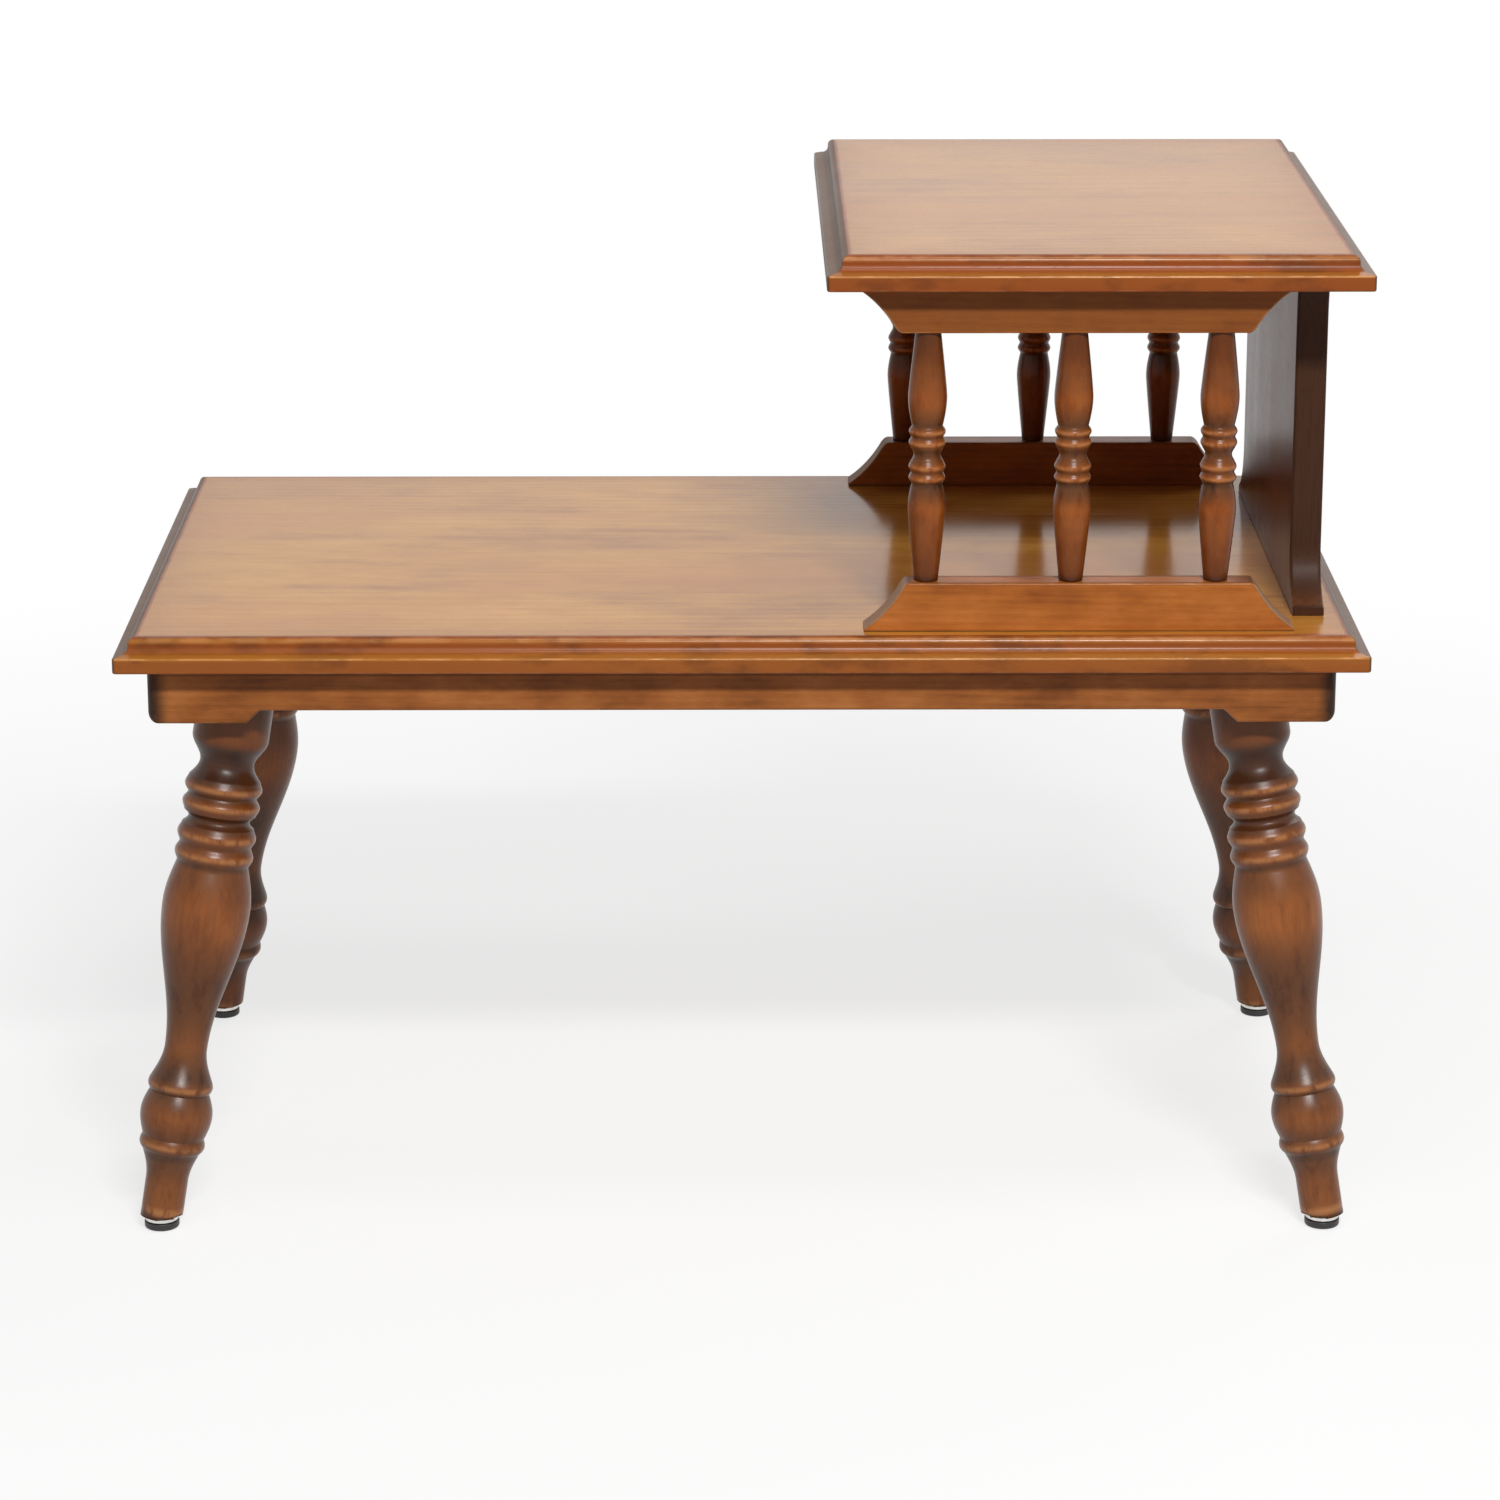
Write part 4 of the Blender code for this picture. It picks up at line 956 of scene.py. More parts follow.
PANEL_WOOD = wood(
    "panel_wood_dark",
    pale=(0.205, 0.068, 0.024), middle=(0.135, 0.045, 0.016), dark=(0.078, 0.026, 0.009),
    stained=(0.02, 0.008, 0.004), worn_and_highlight_colour=(0.16, 0.070, 0.034), ends=(0.05, 0.019, 0.009),
    figure=0.12, rough=0.30, ior=1.22, fine=0.8, blotch=0.8,
)
BARE_WOOD = wood(
    "bare_wood_sawn",
    pale=(0.62, 0.43, 0.25), middle=(0.50, 0.325, 0.175), dark=(0.34, 0.20, 0.10),
    stained=(0.16, 0.08, 0.035), worn_and_highlight_colour=(0.64, 0.47, 0.30), ends=(0.30, 0.18, 0.09),
    figure=0.3, rough=0.68, ior=1.4, bump=0.35,
)
DOWEL_WOOD = wood(
    "bare_wood_dowel",
    pale=(0.64, 0.46, 0.28), middle=(0.53, 0.36, 0.20), dark=(0.38, 0.24, 0.12),
    stained=(0.2, 0.1, 0.05), worn_and_highlight_colour=(0.64, 0.47, 0.30), ends=(0.34, 0.22, 0.11),
    figure=0.3, rough=0.66, ior=1.4, bump=0.3, own_grain=False,
)
NICKEL = metal(
    "glide_metal_nickel", pale=(0.86, 0.84, 0.81), dark=(0.62, 0.60, 0.57), rough=0.24, scratch=0.2,
)
STEEL = metal(
    "fastener_steel_zinc", pale=(0.60, 0.59, 0.57), dark=(0.36, 0.35, 0.34), rough=0.38, scratch=0.3,
)
RUBBER = rubber(
    "glide_pad_rubber",
    pale=(0.042, 0.038, 0.037), dark=(0.017, 0.015, 0.015), dust=(0.09, 0.083, 0.075),
)


# Tops


def edge_outline():
    """Moulded edge going up: inset from the outermost face, height above the underside, staining,
    rubbing. The staining holds painted shade in the cove and a painted highlight on the round-over; the
    rubbing paints highlight lines.
    """
    arris = EDGE_ARRIS
    cove_in = EDGE_LEDGE_WIDTH + EDGE_COVE_RADIUS
    round_level = TOP_THICKNESS - EDGE_ROUND_RADIUS
    cove_top = round_level - EDGE_FALL
    band_top = cove_top - EDGE_COVE_RADIUS - EDGE_LEDGE_SLOPE
    band_low_stain, band_high_stain = EDGE_BAND_STAIN
    quarter = [math.pi / 2 * share for share in shares(ARC_STEPS)]
    marks = [(arris + SUPPORT_WIDTH, 0, 0.0, 0.0)]
    for angle in quarter:
        level = arris * (1 - math.cos(angle))
        marks.append((arris * (1 - math.sin(angle)), level, EDGE_FOOT_STAIN, EDGE_FOOT_WEAR))
    marks.append((0, arris + SUPPORT_WIDTH, band_low_stain, 0.0))
    marks.append((0, band_top - arris - SUPPORT_WIDTH, band_high_stain, 0.0))
    # The ledge's arris is rubbed paler, partly a worn edge and partly a painted highlight line.
    for angle in quarter:
        level = band_top - arris * (1 - math.sin(angle))
        marks.append((arris * (1 - math.cos(angle)), level, EDGE_LEDGE_STAIN, math.sin(2 * angle)))
    for angle in quarter:
        inset = EDGE_LEDGE_WIDTH + EDGE_COVE_RADIUS * math.sin(angle)
        level = cove_top - EDGE_COVE_RADIUS * math.cos(angle)
        marks.append((inset, level, between(EDGE_COVE_PAINTED_SHADE, angle / (math.pi / 2)), 0.0))
    for angle in quarter:
        inset = cove_in + EDGE_ROUND_RADIUS * (1 - math.cos(angle))
        level = round_level + EDGE_ROUND_RADIUS * math.sin(angle)
        stain = between(EDGE_ROUND_STAIN_AND_HIGHLIGHT, angle / (math.pi / 2))
        marks.append((inset, level, stain, EDGE_ROUND_PAINTED_HIGHLIGHT * math.sin(2 * angle)))
    for inset, stain in (
        (SUPPORT_WIDTH, 1.0), (BORDER_LINE_WIDTH, BORDER_STAIN),
        (BORDER_SHADE_WIDTH / 3, BORDER_STAIN / 2), (BORDER_SHADE_WIDTH, 0.0),
    ):
        marks.append((cove_in + EDGE_ROUND_RADIUS + inset, TOP_THICKNESS, stain, 0.0))
    return marks


def rounded_loop(half_x, half_y, radius, height):
    """A rectangle with rounded corners, going round to the left."""
    points = []
    for quarter, (x, y) in enumerate(((1, 1), (-1, 1), (-1, -1), (1, -1))):
        for share in shares(CORNER_STEPS):
            angle = math.pi / 2 * (quarter + share)
            corner_x = x * (half_x - radius) + radius * math.cos(angle)
            corner_y = y * (half_y - radius) + radius * math.sin(angle)
            points.append(Vector((corner_x, corner_y, height)))
    return points


def make_top(name, length, depth, extra_stain=0.0):
    """A board with the same moulding round all four edges."""
    angles = [math.pi / 2 * (quarter + share) for quarter in range(4) for share in shares(CORNER_STEPS)]
    facing_end = [math.cos(angle) ** 2 for angle in angles]
    loops, stain, wear, ends = [], [], [], []
    for inset, height, stain_here, wear_here in edge_outline():
        radius = max(TOP_LEAST_CORNER_RADIUS, TOP_CORNER_RADIUS - inset)
        loops.append(rounded_loop(length / 2 - inset, depth / 2 - inset, radius, height))
        stain += [min(1.0, stain_here + extra_stain)] * len(angles)
        wear += [wear_here] * len(angles)
        end_share = min(1.0, 2 * stain_here) if height < TOP_THICKNESS else 0.0
        ends += [share * end_share for share in facing_end]
    piece = add_object(name, loft(loops))
    set_layers(piece, stain=stain, wear=wear, end_grain=ends)
    return piece


# Fasteners


def screw_outline(length, grow=0.0, lead=0.0):
    """Countersunk screw from its head up, with room all round when it is a hole."""
    return [
        (-lead, 0),
        (-lead, SCREW_HEAD_RADIUS + grow),
        (grow, SCREW_HEAD_RADIUS + grow),
        (SCREW_HEAD_HEIGHT + grow, SCREW_SHANK_RADIUS + grow),
        (length - SCREW_POINT_LENGTH, SCREW_SHANK_RADIUS + grow),
        (length + 2 * grow, 0),
    ]


def make_screw(name, length):
    """Slotted countersunk wood screw."""
    outline = screw_outline(length)
    piece = add_object(name, turn(outline[:2] + outline[3:], FASTENER_SIDES))
    slot = bmesh.new()
    bmesh.ops.create_cube(slot, size=1.0)
    size = Matrix.Diagonal((4 * SCREW_HEAD_RADIUS, SCREW_SLOT_WIDTH, 2 * SCREW_SLOT_DEPTH, 1))
    bmesh.ops.transform(slot, matrix=size, verts=slot.verts)
    carve(piece, [add_object(name + "_slot", slot)])
    return piece


def add_screws(spots, length):
    """Screws driven straight up, each with its slot at its own angle: {node: place}."""
    for number, (node, place) in enumerate(spots.items()):
        piece = make_screw(node + "_slotted", length)
        slot_turn = SCREW_FIRST_TURN + SCREW_TURN_STEP * number
        piece.matrix_world = place @ Matrix.Rotation(slot_turn, 4, "Z")
        finish_piece(piece, node, STEEL, "fitting")


def screw_holes(name, spots, length, lead):
    """A cutter for the holes of these screws."""
    return add_cutter(name, screw_outline(length, FIT_GAP, lead), spots.values(), FASTENER_SIDES)


def cylinder_outline(bottom, top, radius):
    return [(bottom, 0), (bottom, radius), (top, radius), (top, 0)]


def leg_axis(level, end, side):
    """Point of a leg's axis at a level."""
    clear_level = APRON_BOTTOM - APRON_DROP
    collar_reach = COLLAR_RADIUS * math.sqrt(1 + LEG_SPLAY_ACROSS**2)
    clear_y = APRON_BACK - LEG_APRON_CLEARANCE - collar_reach
    x = LOWER_TOP_LENGTH / 2 - LEG_FOOT_INSET - LEG_SPLAY_ALONG * level
    y = clear_y + LEG_SPLAY_ACROSS * (clear_level - level)
    return Vector((end * x, side * y, level))


def leg_place(end, side):
    """Frame with its origin at the foot cut and its Z along the leg."""
    foot = leg_axis(GLIDE_HEIGHT, end, side)
    seat = leg_axis(LEG_SEAT_LEVEL, end, side)
    lean = Vector((0, 0, 1)).rotation_difference(seat - foot)
    return Matrix.Translation(foot) @ lean.to_matrix().to_4x4()


def own(spots, name):
    """The spots of one piece, by the start of their names."""
    return {node: place for node, place in spots.items() if node.startswith(name)}


def rail_spots(kind, level):
    return {
        f"{name}_rail_{kind}_{key}": at(x, side * RAIL_MIDDLE, level)
        for name, side in SIDES.items() for key, x in FIXING_X.items()
    }


def panel_spots(kind, level):
    return {
        f"panel_{kind}_{name}": at(PANEL_MIDDLE, side * PANEL_FIXING_SPACING / 2, level)
        for name, side in SIDES.items()
    }


# Where the fasteners sit, as {node: place}, and how long they are
APRON_SCREW_X = {"left": -GALLERY_CENTRE, "middle": 0, "right": GALLERY_CENTRE}
CLEAT_SCREW_Y = {"front": -CLEAT_SCREW_SPACING, "middle": 0, "back": CLEAT_SCREW_SPACING}
CLEAT_X = {name: leg_axis(CLEAT_BOTTOM, end, 1).x for name, end in ENDS.items()}
APRON_SCREWS = {
    f"{name}_apron_screw_{key}": at(x, side * APRON_MIDDLE, APRON_BOTTOM + APRON_COUNTERBORE)
    for name, side in SIDES.items() for key, x in APRON_SCREW_X.items()
}
CLEAT_SCREWS = {
    f"{name}_cleat_screw_{key}": at(CLEAT_X[name], y, CLEAT_BOTTOM + CLEAT_COUNTERBORE)
    for name in ENDS for key, y in CLEAT_SCREW_Y.items()
}
RAIL_SCREWS = rail_spots("screw", LOWER_TOP_BOTTOM + FIT_GAP)
PANEL_SCREWS = panel_spots("screw", LOWER_TOP_BOTTOM + FIT_GAP)
RAIL_DOWELS = rail_spots("dowel", UPPER_TOP_BOTTOM)
PANEL_DOWELS = panel_spots("dowel", UPPER_TOP_BOTTOM)
APRON_SCREW_LENGTH = APRON_HEIGHT - APRON_COUNTERBORE + FIT_GAP + SCREW_TOP_BITE
CLEAT_SCREW_LENGTH = CLEAT_THICKNESS - CLEAT_COUNTERBORE + FIT_GAP + SCREW_TOP_BITE
RAIL_SCREW_LENGTH = TOP_THICKNESS + SCREW_RAIL_BITE
PANEL_SCREW_LENGTH = TOP_THICKNESS + SCREW_PANEL_BITE
DOWEL_HOLE = cylinder_outline(
    -DOWEL_LOWER_DEPTH - FIT_GAP, DOWEL_TOP_DEPTH + FIT_GAP, DOWEL_RADIUS + FIT_GAP
)


def build_tops():
    lower = make_top("lower_top_board", LOWER_TOP_LENGTH, LOWER_TOP_DEPTH)
    lower.matrix_world = at(0, 0, LOWER_TOP_BOTTOM)
    carve(lower, [
        screw_holes("apron_holes", APRON_SCREWS, APRON_SCREW_LENGTH, 2 * APRON_COUNTERBORE),
        screw_holes("cleat_holes", CLEAT_SCREWS, CLEAT_SCREW_LENGTH, 2 * CLEAT_COUNTERBORE),
        screw_holes("rail_holes", RAIL_SCREWS, RAIL_SCREW_LENGTH, 2 * FIT_GAP),
        screw_holes("panel_holes", PANEL_SCREWS, PANEL_SCREW_LENGTH, 2 * FIT_GAP),
    ])
    finish_piece(lower, "lower_top", TOP_WOOD, "top")
    upper = make_top("upper_top_board", UPPER_TOP_LENGTH, UPPER_TOP_DEPTH, UPPER_TOP_STAIN)
    upper.matrix_world = at(UPPER_TOP_CENTRE, 0, UPPER_TOP_BOTTOM)
    spots = [*RAIL_DOWELS.values(), *PANEL_DOWELS.values()]
    carve(upper, [add_cutter("dowel_holes", DOWEL_HOLE, spots, FASTENER_SIDES)])
    finish_piece(upper, "upper_top", TOP_WOOD, "top", 1)


# Aprons and cleats


def apron_outline():
    """Apron seen from the front, about its middle, with its top edge at height 0."""
    half = APRON_HALF_LENGTH
    low = -APRON_HEIGHT - APRON_DROP
    drop_end = half - APRON_DROP_LENGTH
    right = [
        (drop_end - APRON_DROP_SLOPE, -APRON_HEIGHT, APRON_BOTTOM_ROUND),
        (drop_end, low, APRON_BOTTOM_ROUND),
    ]
    for share in shares(ARC_STEPS):
        angle = math.pi / 2 * share
        x = half - APRON_CORNER_RADIUS * (1 - math.sin(angle))
        rounding = APRON_BOTTOM_ROUND + (APRON_END_ROUND - APRON_BOTTOM_ROUND) * slow_ends(share)
        right.append((x, low + APRON_CORNER_RADIUS * (1 - math.cos(angle)), rounding))
    right.append((half, 0, APRON_END_ROUND))
    return mirrored([(Vector((x, z)), rounding, APRON_EDGE_STAIN) for x, z, rounding in right])


def build_aprons():
    for number, (name, side) in enumerate(SIDES.items()):
        piece = plank(f"{name}_apron_board", apron_outline(), APRON_THICKNESS, APRON_BOTTOM_ROUND / 2)
        turned = Matrix.Identity(4) if side < 0 else Matrix.Rotation(math.pi, 4, "Z")
        piece.matrix_world = at(0, side * APRON_MIDDLE, APRON_TOP) @ turned
        spots = own(APRON_SCREWS, name)
        lead = 2 * APRON_COUNTERBORE
        carve(piece, [screw_holes(f"{name}_apron_holes", spots, APRON_SCREW_LENGTH, lead)])
        finish_piece(piece, f"{name}_apron", APRON_WOOD, "apron", number)
    add_screws(APRON_SCREWS, APRON_SCREW_LENGTH)


def build_cleats():
    """A cross cleat at each end, bored and spot-faced for two legs."""
    half = Vector((APRON_BACK - FIT_GAP, CLEAT_WIDTH / 2))
    marks = [
        (Vector((x * half.x, z * half.y)), CLEAT_EDGE_ROUND, CLEAT_EDGE_STAIN) for x, z in ROUND_TO_LEFT
    ]
    seat = LEG_LENGTH + FIT_GAP
    bore_end = LEG_LENGTH + LEG_TENON_LENGTH + FIT_GAP
    seat_outline = [
        (LEG_LENGTH - COLLAR_LENGTH, 0),
        (LEG_LENGTH - COLLAR_LENGTH, COLLAR_RADIUS + FIT_GAP),
        (seat, COLLAR_RADIUS + FIT_GAP),
        (seat, LEG_TENON_RADIUS + FIT_GAP),
        (bore_end, LEG_TENON_RADIUS + FIT_GAP),
        (bore_end, 0),
    ]
    lie = Matrix.Rotation(math.pi / 2, 4, "Z") @ Matrix.Rotation(math.pi / 2, 4, "X")
    for number, (name, end) in enumerate(ENDS.items()):
        piece = plank(f"{name}_leg_cleat_block", marks, CLEAT_THICKNESS)
        piece.matrix_world = at(CLEAT_X[name], 0, CLEAT_BOTTOM + CLEAT_THICKNESS / 2) @ lie
        seats = [leg_place(end, side) for side in SIDES.values()]
        spots = own(CLEAT_SCREWS, name)
        carve(piece, [
            add_cutter(f"{name}_leg_seats", seat_outline, seats, LEG_SIDES),
            screw_holes(f"{name}_cleat_holes", spots, CLEAT_SCREW_LENGTH, 2 * CLEAT_COUNTERBORE),
        ])
        finish_piece(piece, f"{name}_leg_cleat", BARE_WOOD, "cleat", number)
    add_screws(CLEAT_SCREWS, CLEAT_SCREW_LENGTH)


# Legs and glides


def leg_outline():
    """Turned leg from below its level foot cut, at height 0, to the end of its tenon."""
    foot_allowance = 2 * FOOT_RADIUS * SPLAY_SINE
    outline = [(-foot_allowance, 0), (-foot_allowance, FOOT_RADIUS)]
    sweep(outline, foot_allowance + FOOT_LENGTH, FOOT_RADIUS, TAPER_STEPS, slow_ends)
    sweep(outline, ANKLE_LENGTH, ANKLE_RADIUS, COVE_STEPS, slow_start)
    swell(outline, ANKLE_RING_LENGTH, ANKLE_RING_RADIUS, BALL_LOWER_GROOVE_RADIUS, BEAD_STEPS)
    swell(outline, BALL_LENGTH, BALL_RADIUS, BALL_UPPER_GROOVE_RADIUS, BALL_STEPS)
    swell(outline, KNEE_RING_LENGTH, KNEE_RING_RADIUS, BALL_LOWER_GROOVE_RADIUS, BEAD_STEPS)
    sweep(outline, KNEE_LENGTH, WAIST_RADIUS, COVE_STEPS, quick_start)
    sweep(outline, VASE_RISE_LENGTH, VASE_RADIUS, RISE_STEPS, slow_ends)
    sweep(outline, VASE_SHOULDER_LENGTH, RING_GROOVE_RADIUS, COVE_STEPS, slow_start)
    groove = RING_GROOVE_RADIUS
    for _ring in range(2):
        swell(outline, LOWER_RINGS_LENGTH, LOWER_RINGS_RADIUS, groove, BEAD_STEPS, RING_CREST)
    swell(outline, RING_COVE_LENGTH, RING_COVE_RADIUS, groove, BEAD_STEPS)
    for groove in (UPPER_RING_GROOVE_RADIUS, RING_GROOVE_RADIUS):
        swell(outline, UPPER_RINGS_LENGTH, UPPER_RINGS_RADIUS, groove, BEAD_STEPS, RING_CREST)
    sweep(outline, NECK_LENGTH, NECK_RADIUS, COVE_STEPS, quick_start)
    sweep(outline, COLLAR_RISE_LENGTH, COLLAR_RADIUS, TAPER_STEPS, slow_ends)
    sweep(outline, COLLAR_LENGTH, COLLAR_RADIUS, COVE_STEPS, slow_ends)
    outline.append((LEG_LENGTH, LEG_TENON_RADIUS))
    outline.append((LEG_LENGTH + LEG_TENON_LENGTH, LEG_TENON_RADIUS))
    outline.append((LEG_LENGTH + LEG_TENON_LENGTH, 0))
    return outline


def cut_foot_level(shape, place):
    """Saw a leg's foot parallel to the floor and round its edge over."""
    up = place.to_3x3().inverted() @ Vector((0, 0, 1))
    everything = list(shape.verts) + list(shape.edges) + list(shape.faces)
    sawn = bmesh.ops.bisect_plane(
        shape, geom=everything, dist=WELD_DISTANCE, plane_co=(0, 0, 0), plane_no=up, clear_inner=True
    )
    rim = [item for item in sawn["geom_cut"] if isinstance(item, bmesh.types.BMEdge)]
    bmesh.ops.edgeloop_fill(shape, edges=rim)
    bmesh.ops.bevel(shape, geom=rim, offset=LEG_FOOT_CHAMFER, segments=3, profile=0.4, affect="EDGES")


def crest_marks(outline, rings):
    """Rubbing along a turned outline: strong on the crests of its rings, where it also paints their
    highlight lines.
    """
    found = []
    for height, radius in outline:
        near = [r for h, r in outline if abs(h - height) <= RECESS_REACH]
        below_crest = (max(near) - radius) / CREST_BAND
        share = between(rings, height) if max(near) - min(near) > CREST_BAND else 0.0
        found.append((height, max(0.0, 1 - below_crest) * CREST_WEAR_AND_HIGHLIGHT * share))
    return found


def set_turned_layers(piece, outline, marks, recess_depth, rings, rubbed_and_highlight):
    """Staining with painted shade, and rubbing with painted highlights, along a turned piece, by the
    height of each point.
    """
    stain = stain_marks(outline, marks, recess_depth)
    crests = crest_marks(outline, rings)
    heights = [vertex.co.z for vertex in piece.data.vertices]
    wear = [max(between(crests, height), between(rubbed_and_highlight, height)) for height in heights]
    set_layers(piece, stain=[between(stain, height) for height in heights], wear=wear)


def nail_outline(grow=0.0, lead=0.0):
    """Upright nail from the underside of its head, with room all round when it is a hole."""
    tip = GLIDE_HEIGHT - NAIL_HEAD_RECESS + NAIL_BITE
    return [
        (-lead, 0),
        (-lead, NAIL_HEAD_RADIUS + grow),
        (NAIL_HEAD_THICKNESS + grow, NAIL_HEAD_RADIUS + grow),
        (NAIL_HEAD_THICKNESS + grow, NAIL_SHANK_RADIUS + grow),
        (tip - NAIL_POINT_LENGTH, NAIL_SHANK_RADIUS + grow),
        (tip + 2 * grow, 0),
    ]


def domed_nail_outline():
    """The nail with a domed, eased head."""
    rim = NAIL_HEAD_THICKNESS * NAIL_RIM_SHARE
    outline = [(0, 0)]
    for share in shares(ARC_STEPS, 1):
        radius = NAIL_HEAD_RADIUS * (share - NAIL_HEAD_EASE * share**6)
        outline.append(((NAIL_HEAD_THICKNESS - rim) * share**2, radius))
    outline.append((NAIL_HEAD_THICKNESS - rim / 2, NAIL_HEAD_RADIUS))
    outline.append((NAIL_HEAD_THICKNESS, NAIL_HEAD_RADIUS * NAIL_UNDERSIDE_SHARE))
    return outline + nail_outline()[3:]


def disc_outline(thickness, radius, lower_ease, upper_ease, flat=()):
    """A disc from its underside up, with both edges rounded."""
    outline = [(0, 0), *flat]
    round_over(outline, (lower_ease, radius - lower_ease), lower_ease, -90, 0)
    round_over(outline, (thickness - upper_ease, radius - upper_ease), upper_ease, 0, 90)
    outline.append((thickness, 0))
    return outline


def build_glide(corner, foot):
    """A bright washer over a dark pad, and their nail; returns the cutter of its hole in the leg."""
    pad_flat = (0, GLIDE_PAD_RADIUS - GLIDE_PAD_EASE - SUPPORT_WIDTH)
    pad = disc_outline(GLIDE_PAD_THICKNESS, GLIDE_PAD_RADIUS, GLIDE_PAD_EASE, SUPPORT_WIDTH, [pad_flat])
    edge = GLIDE_WASHER_EASE
    washer = disc_outline(GLIDE_WASHER_THICKNESS, GLIDE_WASHER_RADIUS, edge, edge)
    nail_place = at(foot.x, foot.y, NAIL_HEAD_RECESS)
    hole = nail_outline(FIT_GAP, 2 * NAIL_HEAD_RECESS)
    for name, node, outline, level, material in (
        ("glide_pad_disc", "glide_pad", pad, 0, RUBBER),
        ("glide_washer_ring", "glide_washer", washer, GLIDE_PAD_THICKNESS + FIT_GAP, NICKEL),
    ):
        piece = add_object(f"{corner}_{name}", turn(outline, GLIDE_SIDES))
        piece.matrix_world = at(foot.x, foot.y, level)
        carve(piece, [add_cutter(f"{corner}_nail_hole", hole, [nail_place], FASTENER_SIDES)])
        finish_piece(piece, f"{corner}_{node}", material, "fitting")
    nail = add_object(f"{corner}_glide_nail_wire", turn(domed_nail_outline(), FASTENER_SIDES))
    nail.matrix_world = nail_place
    finish_piece(nail, f"{corner}_glide_nail", STEEL, "fitting")
    return add_cutter(f"{corner}_leg_nail_hole", hole, [nail_place], FASTENER_SIDES)


def build_legs():
    outline = leg_outline()
    corners = itertools.product(SIDES.items(), ENDS.items())
    for number, ((row, side), (column, end)) in enumerate(corners):
        corner = f"{row}_{column}"
        place = leg_place(end, side)
        shape = turn(outline, LEG_SIDES)
        cut_foot_level(shape, place)
        leg = add_object(f"{corner}_leg_turning", shape)
        leg.matrix_world = place
        carve(leg, [build_glide(corner, leg_axis(GLIDE_HEIGHT, end, side))])
        set_turned_layers(leg, outline, LEG_STAIN_AND_SHADE, LEG_RECESS_DEPTH, LEG_RINGS, LEG_RUBBED_AND_HIGHLIGHT)
        finish_piece(leg, f"{corner}_leg", LEG_WOOD, "leg", number)


# Gallery and end panel


def rail_outline(height):
    """Rail seen from the front, lying on its long edge: points and edge rounding."""
    half = RAIL_STRAIGHT_LENGTH / 2
    tip = Vector((RAIL_HALF_LENGTH, RAIL_TIP_HEIGHT))
    neck = Vector((half + RAIL_SHOULDER_RUN, height - RAIL_SHOULDER_FALL))
    crown = Vector((half, height))
    along = (neck - tip).normalized()
    inwards = Vector((-along.y, along.x))
    bend = (tip + neck) / 2 + 2 * RAIL_HOLLOW_DEPTH * inwards
    corner = Vector((half + RAIL_SHOULDER_RUN / 2, height))
    right = [(Vector((RAIL_HALF_LENGTH, 0)), RAIL_FOOT_ROUND)]
    for share in shares(TAPER_STEPS):
        rounding = RAIL_FOOT_ROUND + (RAIL_EDGE_ROUND - RAIL_FOOT_ROUND) * min(1, 3 * share)
        right.append((curve_point(tip, bend, neck, share), rounding))
    for share in shares(COVE_STEPS, 1):
        right.append((curve_point(neck, corner, crown, share), RAIL_EDGE_ROUND))
    return mirrored(right)


def spindle_outline():
    """Turned spindle with its lower shoulder at height 0 and a tenon at each end."""
    outline = [
        (-SPINDLE_TENON_LENGTH, 0),
        (-SPINDLE_TENON_LENGTH, SPINDLE_TENON_RADIUS),
        (0, SPINDLE_TENON_RADIUS),
        (0, SPINDLE_FOOT_RADIUS),
    ]
    taper_out(outline, SPINDLE_LOWER_TAPER_LENGTH, SPINDLE_LOWER_VASE_RADIUS, TAPER_STEPS)
    sweep(outline, SPINDLE_LOWER_SHOULDER_LENGTH, SPINDLE_TUCK_RADIUS, COVE_STEPS, slow_start)
    groove = SPINDLE_GROOVE_RADIUS
    for _ring in range(2):
        swell(outline, SPINDLE_RING_LENGTH, SPINDLE_RING_RADIUS, groove, BEAD_STEPS, RING_CREST)
    swell(outline, SPINDLE_COVE_LENGTH, SPINDLE_COVE_RADIUS, groove, BEAD_STEPS)
    for tuck in (groove, SPINDLE_TUCK_RADIUS):
        swell(outline, SPINDLE_RING_LENGTH, SPINDLE_RING_RADIUS, tuck, BEAD_STEPS, RING_CREST)
    sweep(outline, SPINDLE_UPPER_SHOULDER_LENGTH, SPINDLE_UPPER_VASE_RADIUS, COVE_STEPS, quick_start)
    taper_in(outline, SPINDLE_UPPER_TAPER_LENGTH, SPINDLE_HEAD_RADIUS, TAPER_STEPS)
    outline.append((SPINDLE_LENGTH, SPINDLE_TENON_RADIUS))
    outline.append((SPINDLE_LENGTH + SPINDLE_TENON_LENGTH, SPINDLE_TENON_RADIUS))
    outline.append((SPINDLE_LENGTH + SPINDLE_TENON_LENGTH, 0))
    return outline


def build_rail(kind, name, place, height, cutters, face_stain, wall_stain):
    marks = [
        (point, rounding, RAIL_END_STAIN if abs(point.x) > RAIL_STRAIGHT_LENGTH / 2 else face_stain)
        for point, rounding in rail_outline(height)
    ]
    node = f"{name}_{kind}"
    piece = plank(f"{node}_bar", marks, RAIL_THICKNESS, None, face_stain, wall_stain)
    piece.matrix_world = place
    carve(piece, cutters)
    finish_piece(piece, node, RAIL_WOOD, kind, SPINDLES_PER_RAIL * list(SIDES).index(name))


